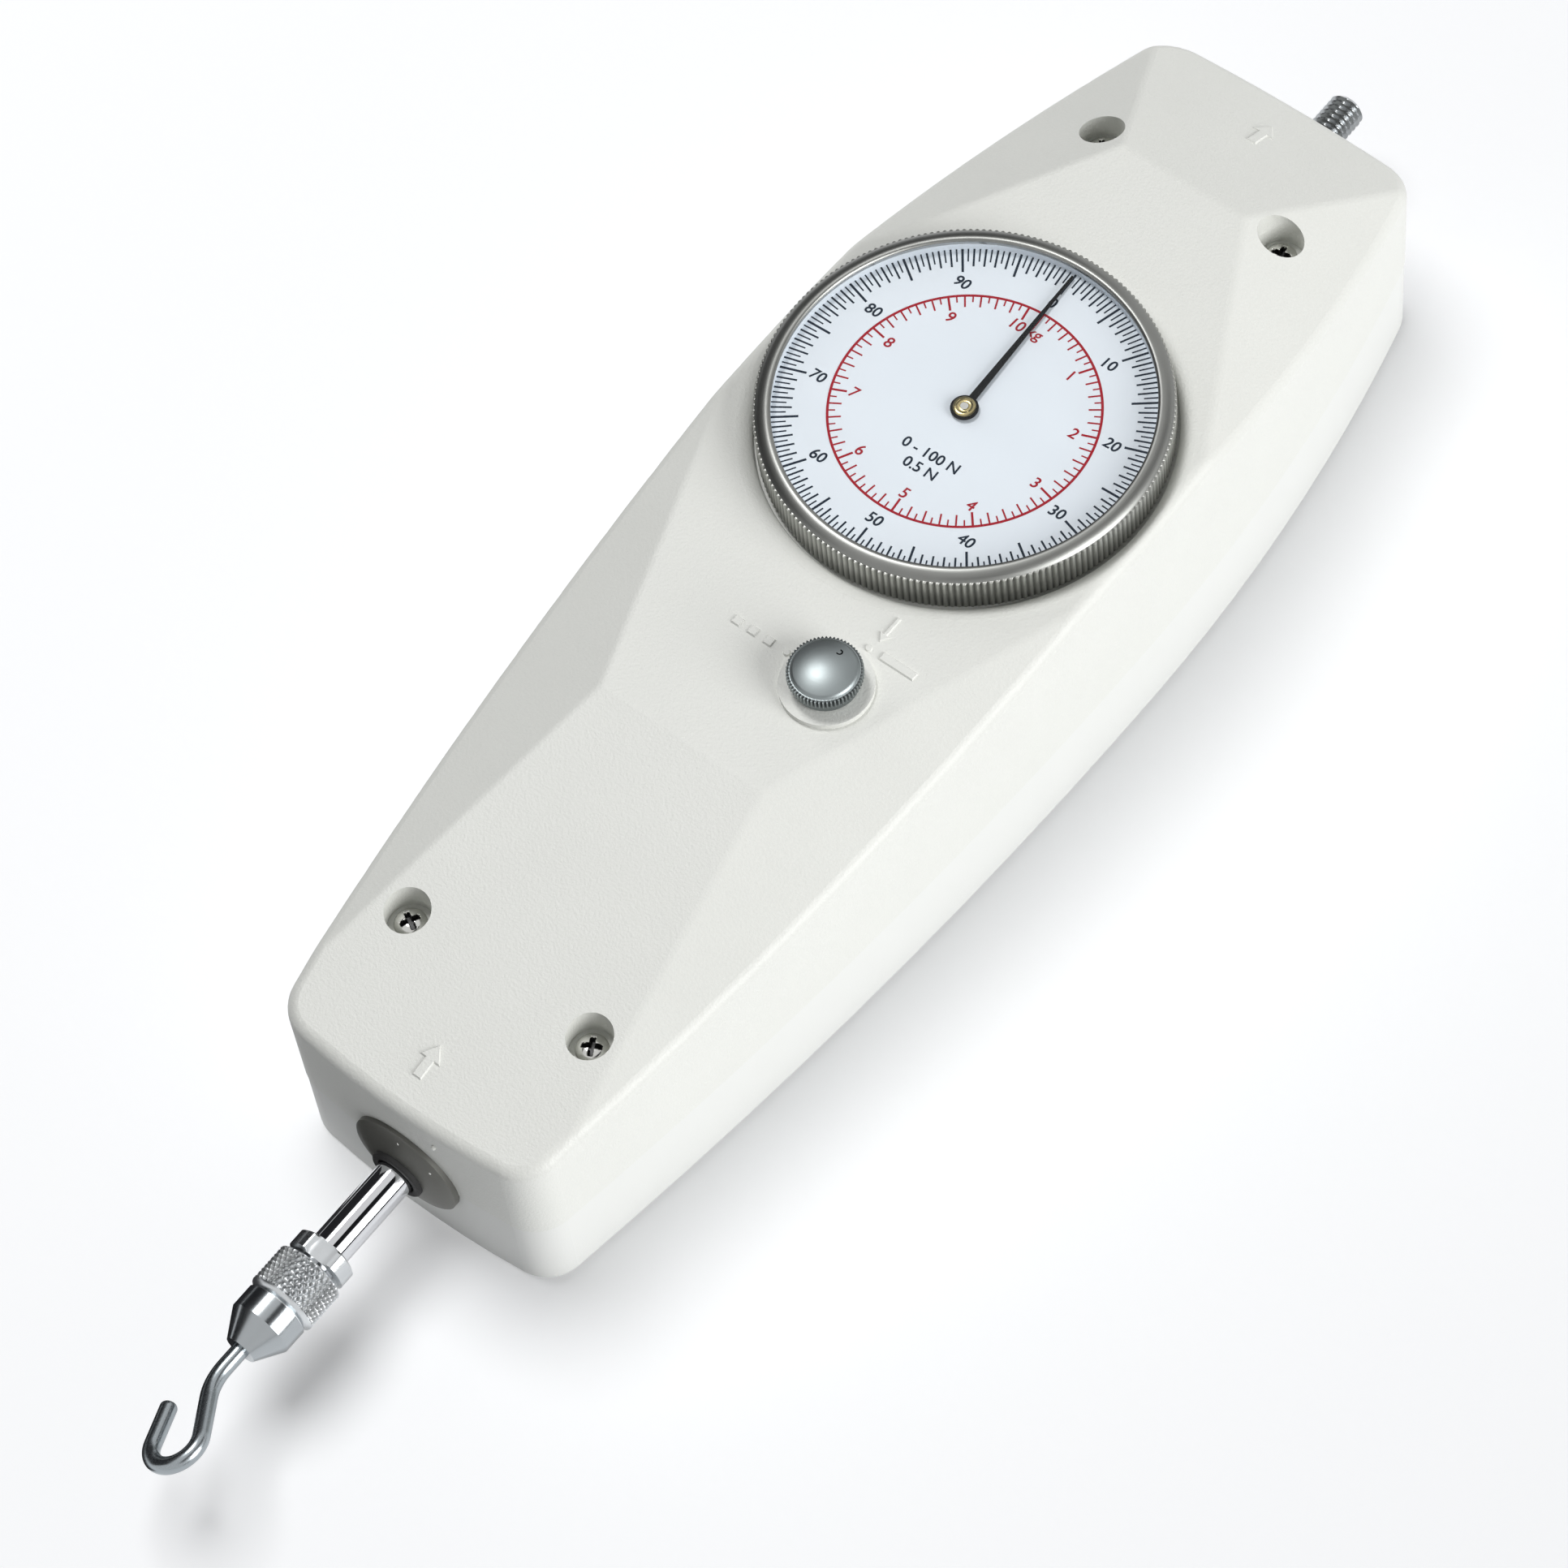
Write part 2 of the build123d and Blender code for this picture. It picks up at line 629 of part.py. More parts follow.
def make_peak_lever():
    """Bell crank: a fork on the knob's crank pin and an arm under the drive gear."""
    pin = Vector(*crank_place()) - Vector(LEVER_X, LEVER_Y)
    lean = math.degrees(math.atan2(pin.Y, pin.X))
    hub = Circle(LEVER_HUB_R)
    reach = LEVER_X - GEAR_X
    brake = SlotCenterPoint((-reach / 2, 0), (0, 0), LEVER_ARM)
    tail = Rectangle(pin.length + 2 * CRANK_R, LEVER_ARM, align=(Align.MIN, Align.CENTER))
    fork = Pos(pin.length, 0) * Circle(FORK_HALF)
    slot = Pos(pin.length - 2 * CRANK_R, 0) * Rectangle(
        20, 2 * (CRANK_PIN_R + FORK_PLAY), align=(Align.MIN, Align.CENTER)
    )
    outline = hub + brake + Rot(0, 0, lean) * (tail + fork - slot)
    outline -= Circle(LEVER_PIN_R + RUN)
    return extrude(Pos(LEVER_X, LEVER_Y, LEVER_Z) * outline, LEVER)


def make_brake_shoe():
    """Pad on the lever's arm, hollowed to the drive gear's rim."""
    rim_r = GEAR_R + ADDENDUM * GEAR_MODULE + SHOE_GAP
    bottom = LEVER_Z + LEVER
    low = LEVER_Y - LEVER_ARM / 2
    pad = slab(GEAR_X - SHOE_HALF, GEAR_X + SHOE_HALF, low, GEAR_Y, bottom, GEAR_Z + GEAR_FACE)
    pad -= post(rim_r, bottom - 1, BRIDGE_Z, GEAR_X, GEAR_Y)
    return pad


def make_lever_pin():
    """Shouldered pin pressed into the lower plate."""
    foot = PLATE_Z + PLATE
    pin = post(LEVER_PIN_R, PLATE_Z, LEVER_Z + LEVER + GAP, LEVER_X, LEVER_Y)
    pin += post(LEVER_PIN_HEAD_R, foot, LEVER_Z - RUN, LEVER_X, LEVER_Y)
    head = LEVER_Z + LEVER + RUN
    return pin + post(LEVER_PIN_HEAD_R, head, head + 0.8, LEVER_X, LEVER_Y)


# Selector knob ---------------------------------------------------------------

def make_selector_knob():
    """Domed knob with a rim band over a narrower skirt."""
    band = KNOB_Z + KNOB_SKIRT
    top = band + KNOB_BAND
    outline = Polyline(
        (0, KNOB_Z), (KNOB_SKIRT_R, KNOB_Z), (KNOB_SKIRT_R, band), (KNOB_R, band), (KNOB_R, top)
    )
    ball = (KNOB_R**2 + KNOB_DOME**2) / (2 * KNOB_DOME)
    shoulder = top + KNOB_DOME - ball + math.sqrt(ball**2 - KNOB_R**2 / 4)
    dome = ThreePointArc((KNOB_R, top), (KNOB_R / 2, shoulder), (0, top + KNOB_DOME))
    face = make_face(outline + dome + Line((0, top + KNOB_DOME), (0, KNOB_Z)))
    knob = Pos(KNOB_X, KNOB_Y) * revolve(Plane.XZ * face, Axis.Z)
    return knob - post(SPINDLE_R + FIT, KNOB_Z - 1, band + 0.5 * KNOB_BAND, KNOB_X, KNOB_Y)


def make_knob_spindle():
    """Spindle with a clip groove and a crank pin for the lever's fork."""
    foot = LEVER_Z + LEVER + GAP
    spindle = post(SPINDLE_R, foot, KNOB_Z + KNOB_SKIRT + 0.5 * KNOB_BAND, KNOB_X, KNOB_Y)
    groove = (SPINDLE_R + 1, SPINDLE_BOSS_Z - RUN - CLIP - FIT, SPINDLE_BOSS_Z - RUN)
    spindle -= post(*groove, KNOB_X, KNOB_Y, bore=0.75 * SPINDLE_R)
    return spindle + post(CRANK_PIN_R, CRANK_Z, foot, *crank_place())


def make_spindle_clip():
    """Open clip that holds the spindle up in the housing."""
    bottom = SPINDLE_BOSS_Z - RUN - CLIP
    ring = post(CLIP_R, bottom, bottom + CLIP, KNOB_X, KNOB_Y, bore=0.75 * SPINDLE_R + FIT)
    half = 0.6 * SPINDLE_R
    return ring - slab(KNOB_X, KNOB_X + CLIP_R + 1, KNOB_Y - half, KNOB_Y + half, bottom - 1, TOP_Z)


# Bezel and dial --------------------------------------------------------------

def make_bezel_ring():
    bottom = DISH_Z + GAP
    top = LIP_Z + BEZEL_LIP
    return turned(
        [
            (BEZEL_BORE_R, bottom), (BEZEL_R - 0.3, bottom), (BEZEL_R, bottom + 0.3),
            (BEZEL_R, top - BEZEL_ROUND), (BEZEL_R - 0.3 * BEZEL_ROUND, top - 0.3 * BEZEL_ROUND),
            (BEZEL_R - BEZEL_ROUND, top), (BEZEL_LIP_R, top), (BEZEL_LIP_R, LIP_Z),
            (BEZEL_BORE_R, LIP_Z),
        ],
        0,
        DIAL_Y,
    )


def make_retaining_ring():
    """Ring that closes the bezel from below and turns on the housing's seat ring."""
    bore = SEAT_RING_R + 2 * RUN
    return post(BEZEL_BORE_R - FIT, DISH_Z + GAP, DIAL_BACK_Z, 0, DIAL_Y, bore=bore)


def make_dial_plate():
    return post(DIAL_R, DIAL_BACK_Z, DIAL_Z, 0, DIAL_Y, bore=1.5 * ARBOR_R)


def make_dial_spacer():
    return post(DIAL_R, DIAL_Z, CRYSTAL_Z, 0, DIAL_Y, bore=DIAL_R - SPACER_WALL)


def make_crystal():
    return post(DIAL_R, CRYSTAL_Z, LIP_Z, 0, DIAL_Y)


def make_pointer():
    """Tapered needle on a round hub, pointing at the dial's zero."""
    bottom = DIAL_Z + POINTER_LIFT
    needle = make_face(
        Polyline(
            (-POINTER_ROOT_W / 2, 0), (POINTER_ROOT_W / 2, 0),
            (POINTER_TIP_W / 2, POINTER_R), (-POINTER_TIP_W / 2, POINTER_R), close=True,
        )
    )
    outline = needle + Circle(HUB_R) - Circle(ARBOR_TIP_R + FIT)
    return extrude(Pos(0, DIAL_Y, bottom) * Rot(0, 0, POINTER_START) * outline, POINTER_THICK)


def make_pointer_hub():
    bottom = DIAL_Z + POINTER_LIFT + POINTER_THICK
    return post(0.8 * HUB_R, bottom, bottom + HUB_HEIGHT, 0, DIAL_Y, bore=ARBOR_TIP_R + FIT)


# Measuring shaft -------------------------------------------------------------

def make_measuring_shaft():
    """Two journals, a thicker middle with the guide pin's hole, and a stud with a relief."""
    shaft = bar(SHAFT_R, SHAFT_END_Y, STUD_END_Y)
    shaft = chamfer(shaft.edges().group_by(Axis.Y)[-1], STUD_CHAMFER)
    relief_end = STUD_END_Y - STUD_LENGTH
    shaft -= bar(SHAFT_R + 1, relief_end - STUD_RELIEF, relief_end, bore=STUD_RELIEF_R)
    shaft += bar(SHAFT_CENTRE_R, SHOULDER_Y, PULL_SHOULDER_Y)
    return shaft - post(GUIDE_PIN_R + FIT, 0, SHAFT_Z, 0, GUIDE_PIN_Y)


def make_guide_pin():
    return post(GUIDE_PIN_R, GUIDE_PIN_Z, SHAFT_Z, 0, GUIDE_PIN_Y)


def make_spring_collar():
    return bar(COLLAR_R, COIL_START_Y - COLLAR, COIL_START_Y, bore=SHAFT_CENTRE_R + FIT)


def make_spring_seat():
    bore = SHAFT_CENTRE_R + GAP
    return bar(COLLAR_R, COIL_END_Y, COIL_END_Y + SPRING_SEAT, bore=bore)


def make_return_spring():
    """Compression coil of flat wire between the shaft's collar and the pull end's seat."""
    clear = COIL_WIRE_LONG / 2 + GAP / 3
    start, end = COIL_START_Y + clear, COIL_END_Y - clear
    length = end - start
    path = Helix(pitch=length / COIL_TURNS, height=length, radius=COIL_R)
    wire = Plane(origin=path @ 0, x_dir=(1, 0, 0), z_dir=path % 0)
    coil = sweep(wire * Rectangle(COIL_WIRE_WIDE, COIL_WIRE_LONG), path, is_frenet=True)
    return Pos(0, start, SHAFT_Z) * Rot(-90, 0, 0) * coil


def rack_half_length():
    return RACK_TEETH * RACK_PITCH / 2


def make_rack():
    """Toothed strip: a gap stands at the pinion's height at rest."""
    module = RACK_PITCH / math.pi
    tip, root = ADDENDUM * module, DEDENDUM * module
    lean = math.tan(PRESSURE_ANGLE)
    flat = RACK_PITCH / 4 - GEAR_PLAY / 2
    points = []
    first = GEAR_Y - RACK_PITCH * (round((GEAR_Y - RACK_Y) / RACK_PITCH + RACK_TEETH / 2) - 0.5)
    for tooth in range(RACK_TEETH):
        y = first + tooth * RACK_PITCH
        points += [(RACK_X + root, y - flat - root * lean), (RACK_X - tip, y - flat + tip * lean)]
        points += [(RACK_X - tip, y + flat - tip * lean), (RACK_X + root, y + flat + root * lean)]
    back = RACK_X + RACK_BACK
    points += [(back, points[-1][1]), (back, points[0][1])]
    strip = extrude(Pos(0, 0, RACK_Z) * make_face(Polyline(*points, close=True)), RACK_HEIGHT)
    for x, y in rack_screw_places():
        strip -= post(RACK_SCREW_R + RUN, RACK_Z - 1, RACK_Z + RACK_HEIGHT + 1, x, y)
    return strip


def rack_screw_places():
    x = RACK_X + RACK_BACK - 1.3 * RACK_SCREW_HEAD_R + 0.2
    reach = rack_half_length() - 1.6 * RACK_SCREW_HEAD_R
    return [(x, RACK_Y - reach), (x, RACK_Y + reach)]


def make_rack_carrier():
    """Block clamped round the shaft, which carries the rack."""
    half = rack_half_length()
    block = slab(
        -CARRIER_HALF_X, CARRIER_HALF_X, RACK_Y - half, RACK_Y + half,
        SHAFT_Z - CARRIER_DEPTH, RACK_Z,
    )
    block = chamfer(block.edges().filter_by(Axis.Y).group_by(Axis.Z)[0], 1.5)
    block -= bar(SHAFT_CENTRE_R + FIT, RACK_Y - half - 1, RACK_Y + half + 1)
    for x, y in rack_screw_places():
        block -= post(RACK_SCREW_R + FIT, RACK_Z - 1.2, RACK_Z + 1, x, y)
    return block


def make_rack_screws():
    screws = []
    top = RACK_Z + RACK_HEIGHT
    for x, y in rack_screw_places():
        shank = post(RACK_SCREW_R, RACK_Z - 1.2 + FIT, top, x, y)
        screws.append(shank + post(RACK_SCREW_HEAD_R, top, top + RACK_SCREW_HEAD, x, y))
    return screws


# Adapter and hook ------------------------------------------------------------

def make_lock_ring():
    ring = bar(LOCK_RING_R, LOCK_RING_Y - LOCK_RING, LOCK_RING_Y, bore=SHAFT_R + FIT)
    return chamfer(ring.edges().sort_by(SortBy.LENGTH)[-2:], 0.3)


def make_adapter_body():
    """Knurled body screwed on the shaft's end, with a neck toward the nose."""
    body = bar(ADAPTER_R, ADAPTER_Y - ADAPTER, ADAPTER_Y)
    body = chamfer(body.edges().sort_by(SortBy.LENGTH)[-2:], 0.4)
    body += bar(NECK_R, NOSE_Y, ADAPTER_Y - ADAPTER)
    return body - bar(SHAFT_R + FIT, SHAFT_END_Y - GAP, ADAPTER_Y + 1)


def make_adapter_nose():
    """Nose that tapers down to the hook's wire."""
    nose = bar(NOSE_R, CONE_Y, NOSE_Y)
    taper = loft([
        Plane.XZ.offset(-CONE_Y) * Pos(0, SHAFT_Z) * Circle(NOSE_R),
        Plane.XZ.offset(-NOSE_END_Y) * Pos(0, SHAFT_Z) * Circle(NOSE_TIP_R),
    ])
    return nose + taper - bar(HOOK_WIRE_R + FIT, NOSE_END_Y - 1, NOSE_END_Y + HOOK_ROOT + GAP)


def make_hook():
    """Round wire: straight root, bend, lean, loop and tail, in one tilted plane."""
    tilt, lean = math.radians(HOOK_TILT), math.radians(HOOK_LEAN)
    across = (math.cos(tilt), 0, math.sin(tilt))
    plane = Plane(origin=(0, 0, SHAFT_Z), x_dir=across, z_dir=(-math.sin(tilt), 0, math.cos(tilt)))
    root = Vector(0, NOSE_END_Y + HOOK_ROOT)
    corner = Vector(0, NOSE_END_Y - HOOK_CORNER)
    out = Vector(math.sin(lean), -math.cos(lean))
    tangent = corner + out * HOOK_RUN
    centre = tangent - Vector(out.Y, -out.X) * -HOOK_LOOP_R
    tail_lean = math.radians(HOOK_TAIL_LEAN)
    tail = Vector(-math.sin(tail_lean), math.cos(tail_lean))
    finish = centre + Vector(-tail.Y, tail.X) * HOOK_LOOP_R
    stem = FilletPolyline(root, corner, tangent, radius=HOOK_BEND_R)
    loop = ThreePointArc(tangent, centre + Vector(0, -HOOK_LOOP_R), finish)
    path = plane * (stem + loop + Line(finish, finish + tail * HOOK_TAIL))
    section = Plane.XZ.offset(-root.Y) * Pos(0, SHAFT_Z) * Circle(HOOK_WIRE_R)
    wire = sweep(section, path)
    tip = (path @ 1) + Vector(0, 0, 0)
    end = wire.edges().filter_by(GeomType.CIRCLE).sort_by_distance(tip)[0]
    return fillet(end, 0.6 * HOOK_WIRE_R)


PIECES = {
    "front_housing": make_front_housing,
    "rear_cover": make_rear_cover,
    "housing_screws": make_housing_screws,
    "mounting_inserts": make_mounting_inserts,
    "push_flange": lambda: make_flange(PUSH_FLANGE_Y, -1),
    "pull_flange": lambda: make_flange(PULL_FLANGE_Y, 1),
    "shaft_bushes": make_shaft_bushes,
    "movement_plate": make_movement_plate,
    "bridge_plate": make_bridge_plate,
    "plate_pillars": make_plate_pillars,
    "plate_screws": make_plate_screws,
    "gear_arbor": make_gear_arbor,
    "rack_pinion": make_rack_pinion,
    "drive_gear": make_drive_gear,
    "pointer_arbor": make_pointer_arbor,
    "centre_pinion": make_centre_pinion,
    "hairspring": make_hairspring,
    "hairspring_stud": make_hairspring_stud,
    "peak_lever": make_peak_lever,
    "brake_shoe": make_brake_shoe,
    "lever_pin": make_lever_pin,
    "selector_knob": make_selector_knob,
    "knob_spindle": make_knob_spindle,
    "spindle_clip": make_spindle_clip,
    "bezel_ring": make_bezel_ring,
    "retaining_ring": make_retaining_ring,
    "dial_plate": make_dial_plate,
    "dial_spacer": make_dial_spacer,
    "crystal": make_crystal,
    "pointer": make_pointer,
    "pointer_hub": make_pointer_hub,
    "measuring_shaft": make_measuring_shaft,
    "guide_pin": make_guide_pin,
    "spring_collar": make_spring_collar,
    "spring_seat": make_spring_seat,
    "return_spring": make_return_spring,
    "rack": make_rack,
    "rack_carrier": make_rack_carrier,
    "rack_screws": make_rack_screws,
    "lock_ring": make_lock_ring,
    "adapter_body": make_adapter_body,
    "adapter_nose": make_adapter_nose,
    "hook": make_hook,
}

for node, make in PIECES.items():
    made = make()
    solids = made if isinstance(made, list) else made.solids()
    shape = solids[0] if len(solids) == 1 else Compound(children=list(solids))
    export_step(shape, f"parts/{node}.step")
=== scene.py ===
import math

import bmesh
import bpy
from mathutils import Matrix, Vector


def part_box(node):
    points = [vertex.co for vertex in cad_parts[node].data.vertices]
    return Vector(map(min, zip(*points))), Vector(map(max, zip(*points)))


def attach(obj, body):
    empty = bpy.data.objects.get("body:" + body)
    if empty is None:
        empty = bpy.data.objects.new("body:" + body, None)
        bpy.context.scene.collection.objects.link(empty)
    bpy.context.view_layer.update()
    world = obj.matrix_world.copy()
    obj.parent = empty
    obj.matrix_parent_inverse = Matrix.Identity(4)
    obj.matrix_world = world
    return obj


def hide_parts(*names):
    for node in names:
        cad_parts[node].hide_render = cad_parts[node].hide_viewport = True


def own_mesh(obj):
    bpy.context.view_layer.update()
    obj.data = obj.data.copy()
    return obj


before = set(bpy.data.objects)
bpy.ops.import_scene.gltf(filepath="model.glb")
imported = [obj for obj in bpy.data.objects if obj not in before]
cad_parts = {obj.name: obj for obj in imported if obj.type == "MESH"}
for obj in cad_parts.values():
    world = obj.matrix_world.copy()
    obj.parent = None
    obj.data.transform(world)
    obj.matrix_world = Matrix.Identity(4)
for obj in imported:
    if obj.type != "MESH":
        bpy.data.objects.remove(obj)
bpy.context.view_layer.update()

MM = 0.001

# Places and sizes of the CAD model, mm
DIAL = (0.0, 25.0, 48.0)    # centre and face
KNOB = (11.5, -22.0)
SHAFT_Z = 16.0
TOP_Z = 44.8
TOP_EDGE_R = 2.0            # rounding of the housing's upper edge
HALF_WIDTH = 33.75
WALL_BOW_PUSH = 1638        # the side walls are parabolas, flatter toward the push end
WALL_BOW_PULL = 624
PUSH_SLOPE = (-40.8, 0.1766)    # where each end slope starts along y, and its fall
PULL_SLOPE = (77.8, 0.4496)
DIAL_TURN = 2.47            # degrees that the print is turned against the clock


# Materials -------------------------------------------------------------------

class Nodes:
    """The node tree of a material or the world, with short calls to add and join nodes."""

    def __init__(self, owner):
        owner.use_nodes = True
        self.owner = owner
        self.tree = owner.node_tree
        self.shader = self.tree.nodes.get("Principled BSDF")
        self.output = next(node for node in self.tree.nodes if node.type.startswith("OUTPUT"))

    def add(self, kind, **values):
        node = self.tree.nodes.new(kind)
        for key, value in values.items():
            if hasattr(node, key):
                setattr(node, key, value)
            else:
                node.inputs[key.replace("_", " ").title()].default_value = value
        return node

    def join(self, source, target):
        self.tree.links.new(source, target)

    def math(self, operation, *terms, clamp=False):
        """Result of a Math node, whose terms are numbers or the results of other nodes."""
        node = self.add("ShaderNodeMath", operation=operation, use_clamp=clamp)
        for socket, term in zip(node.inputs, terms):
            if isinstance(term, (int, float)):
                socket.default_value = term
            else:
                self.join(term, socket)
        return node.outputs[0]

    def noise(self, place, size_mm, detail=2.0, roughness=0.5):
        """Noise whose features are about size_mm across, from 0 to 1."""
        node = self.add("ShaderNodeTexNoise", Scale=1 / (size_mm * MM), Detail=detail, Roughness=roughness)
        self.join(place, node.inputs["Vector"])
        return node.outputs["Fac"]

    def spread(self, value, low, high):
        """The value, from 0 to 1, stretched to run from low to high."""
        node = self.add("ShaderNodeMapRange")
        node.inputs["To Min"].default_value = low
        node.inputs["To Max"].default_value = high
        self.join(value, node.inputs["Value"])
        return node.outputs["Result"]

    def blend(self, share, first, second):
        """Colour between two, each a written colour or the result of another node."""
        node = self.add("ShaderNodeMix", data_type="RGBA")
        for name, colour in (("A", first), ("B", second)):
            if isinstance(colour, list):
                node.inputs[name].default_value = colour
            else:
                self.join(colour, node.inputs[name])
        self.join(share, node.inputs["Factor"])
        return node.outputs["Result"]

    def bump(self, height, strength, depth):
        node = self.add("ShaderNodeBump", Strength=strength)
        node.inputs["Distance"].default_value = depth
        self.join(height, node.inputs["Height"])
        self.join(node.outputs["Normal"], self.shader.inputs["Normal"])

    def object_place(self):
        return self.add("ShaderNodeTexCoord").outputs["Object"]

    def seen_rays(self):
        """1 for the rays that show the studio: camera, glossy and transmission."""
        rays = self.add("ShaderNodeLightPath").outputs
        seen = self.math("ADD", rays["Is Camera Ray"], rays["Is Glossy Ray"], clamp=True)
        return self.math("ADD", seen, rays["Is Transmission Ray"], clamp=True)


def new_material(name):
    return Nodes(bpy.data.materials.new(name))


def tinted(colour, factor, most=math.inf):
    """The colour times a factor, no lighter than most."""
    return [min(most, factor * c) for c in colour[:3]] + [1]


def srgb(red, green, blue):
    """A colour given in screen values, 0 to 255, as linear light."""
    def linear(value):
        value /= 255
        return value / 12.92 if value <= 0.04045 else ((value + 0.055) / 1.055) ** 2.4
    return (linear(red), linear(green), linear(blue), 1.0)


def shaded(name, colour, metal=0.0, rough=0.5, grain=0.0, grain_mm=0.5, spread=0.05,
           rough_spread=0.05, stretch=(1, 1, 1), ior=1.5):
    """Principled material whose colour, gloss and surface vary with fine noise."""
    fine_share, broad_mm, depth_share = 0.6, 14, 0.2
    nodes = new_material(name)
    place = nodes.object_place()
    mapping = nodes.add("ShaderNodeMapping")
    mapping.inputs["Scale"].default_value = [1 / (grain_mm * MM * s) for s in stretch]
    nodes.join(place, mapping.inputs["Vector"])
    fine = nodes.add("ShaderNodeTexNoise", Scale=1.0, Detail=3.0, Roughness=0.6)
    nodes.join(mapping.outputs["Vector"], fine.inputs["Vector"])
    fine = fine.outputs["Fac"]
    broad = nodes.math("MULTIPLY", nodes.noise(place, broad_mm), 1 - fine_share)
    share = nodes.math("MULTIPLY_ADD", fine, fine_share, broad)
    tone = nodes.blend(share, tinted(colour, 1 - spread), tinted(colour, 1 + spread, most=1))
    nodes.join(tone, nodes.shader.inputs["Base Color"])
    gloss = nodes.spread(fine, max(0.02, rough - rough_spread), min(1, rough + rough_spread))
    nodes.join(gloss, nodes.shader.inputs["Roughness"])
    nodes.shader.inputs["Metallic"].default_value = metal
    nodes.shader.inputs["IOR"].default_value = ior
    if grain:
        nodes.bump(fine, grain, depth_share * grain_mm * MM)
    return nodes.owner


def turned_metal(name, colour, rough, centre, grain=0.35, axes=(0, 1), groove_shade=None, dark=0.35):
    """Metal with fine turning rings round the axis through centre, across the two axes given.

    Given (root radius, crest radius, lowest, highest), between those heights
    the colour darkens from crest to root to the share dark: painted shade in a knurl's grooves.
    """
    ring_mm, patch_mm, ring_depth_mm = 0.12, 6, 0.01
    nodes = new_material(name)
    place = nodes.object_place()
    split = nodes.add("ShaderNodeSeparateXYZ")
    nodes.join(place, split.inputs[0])
    squares = [
        nodes.math("POWER", nodes.math("SUBTRACT", split.outputs[axis], middle * MM), 2)
        for axis, middle in zip(axes, centre)
    ]
    radius = nodes.math("SQRT", nodes.math("ADD", *squares))
    height = split.outputs[3 - sum(axes)]
    ring = nodes.add("ShaderNodeCombineXYZ")
    nodes.join(radius, ring.inputs[0])
    nodes.join(height, ring.inputs[2])
    rings = nodes.noise(ring.outputs[0], ring_mm)
    patches = nodes.noise(place, patch_mm)
    surface = nodes.blend(patches, tinted(colour, 0.85), tinted(colour, 1.12))
    # Painted shade: between the given heights the colour darkens from crest to root, as shade in a knurl's
    # grooves.
    if groove_shade:
        root, crest, lowest, highest = groove_shade
        deep = nodes.add("ShaderNodeMapRange")
        deep.inputs["From Min"].default_value = crest * MM
        deep.inputs["From Max"].default_value = root * MM
        nodes.join(radius, deep.inputs["Value"])
        share = deep.outputs["Result"]
        for limit, test in ((lowest, "GREATER_THAN"), (highest, "LESS_THAN")):
            share = nodes.math("MULTIPLY", share, nodes.math(test, height, limit * MM))
        surface = nodes.blend(share, surface, tinted(colour, dark))
    nodes.join(surface, nodes.shader.inputs["Base Color"])
    nodes.join(nodes.spread(rings, rough - 0.06, rough + 0.08), nodes.shader.inputs["Roughness"])
    nodes.shader.inputs["Metallic"].default_value = 1.0
    nodes.bump(rings, grain, ring_depth_mm * MM)
    return nodes.owner


def clear_glass(name):
    """Thin flat glass: mostly clear, with a reflection that grows at a slant."""
    smear_mm, least, most = 9, 0.15, 0.45
    nodes = new_material(name)
    clear = nodes.add("ShaderNodeBsdfTransparent", Color=(0.998, 0.999, 0.999, 1))
    gloss = nodes.add("ShaderNodeBsdfGlossy", Roughness=0.03, Color=(0.9, 0.93, 0.95, 1))
    slant = nodes.add("ShaderNodeFresnel")
    slant.inputs["IOR"].default_value = 1.45
    smear = nodes.noise(nodes.object_place(), smear_mm, detail=3.0)
    share = nodes.math("MULTIPLY", slant.outputs[0], nodes.spread(smear, least, most))
    mix = nodes.add("ShaderNodeMixShader")
    for source, target in zip((share, clear.outputs[0], gloss.outputs[0]), mix.inputs):
        nodes.join(source, target)
    nodes.join(mix.outputs[0], nodes.output.inputs["Surface"])
    nodes.tree.nodes.remove(nodes.shader)
    return nodes.owner


PAINT = shaded("paint_offwhite", srgb(226, 227, 222), rough=0.46, grain=0.85, grain_mm=0.42,
               spread=0.055, rough_spread=0.08)
PAINT_REAR = shaded("paint_offwhite_rear", srgb(228, 229, 226), rough=0.5, grain=0.2, grain_mm=0.35,
                    spread=0.02, rough_spread=0.08)
# The bezel is one aluminium part. Its top rim takes this darker tone (as do the rack carrier and retaining
# ring), and its knurled band takes the lighter tone below. The rim's darker tone is painted shade.
BEZEL_METAL = turned_metal("aluminium_turned", srgb(143, 144, 141), 0.36, DIAL)
# The band darkens into its knurl's grooves: painted shade.
BEZEL_KNURL = turned_metal("aluminium_knurled", srgb(186, 187, 182), 0.4, DIAL,
                           groove_shade=(30.42, 30.78, 43.2, 49.62), dark=0.3)
# The knob darkens into the grooves between its rim teeth: painted shade.
KNOB_METAL = turned_metal("aluminium_knob", srgb(148, 155, 156), 0.42, KNOB, grain=0.15,
                          groove_shade=(5.25, 5.58, 47.9, 49.62), dark=0.25)
NICKEL = shaded("nickel_plate", srgb(214, 214, 210), metal=1, rough=0.14, grain=0.1, grain_mm=0.2)
NICKEL_SATIN = shaded("nickel_satin", srgb(204, 207, 209), metal=1, rough=0.25, spread=0.02, grain_mm=1)
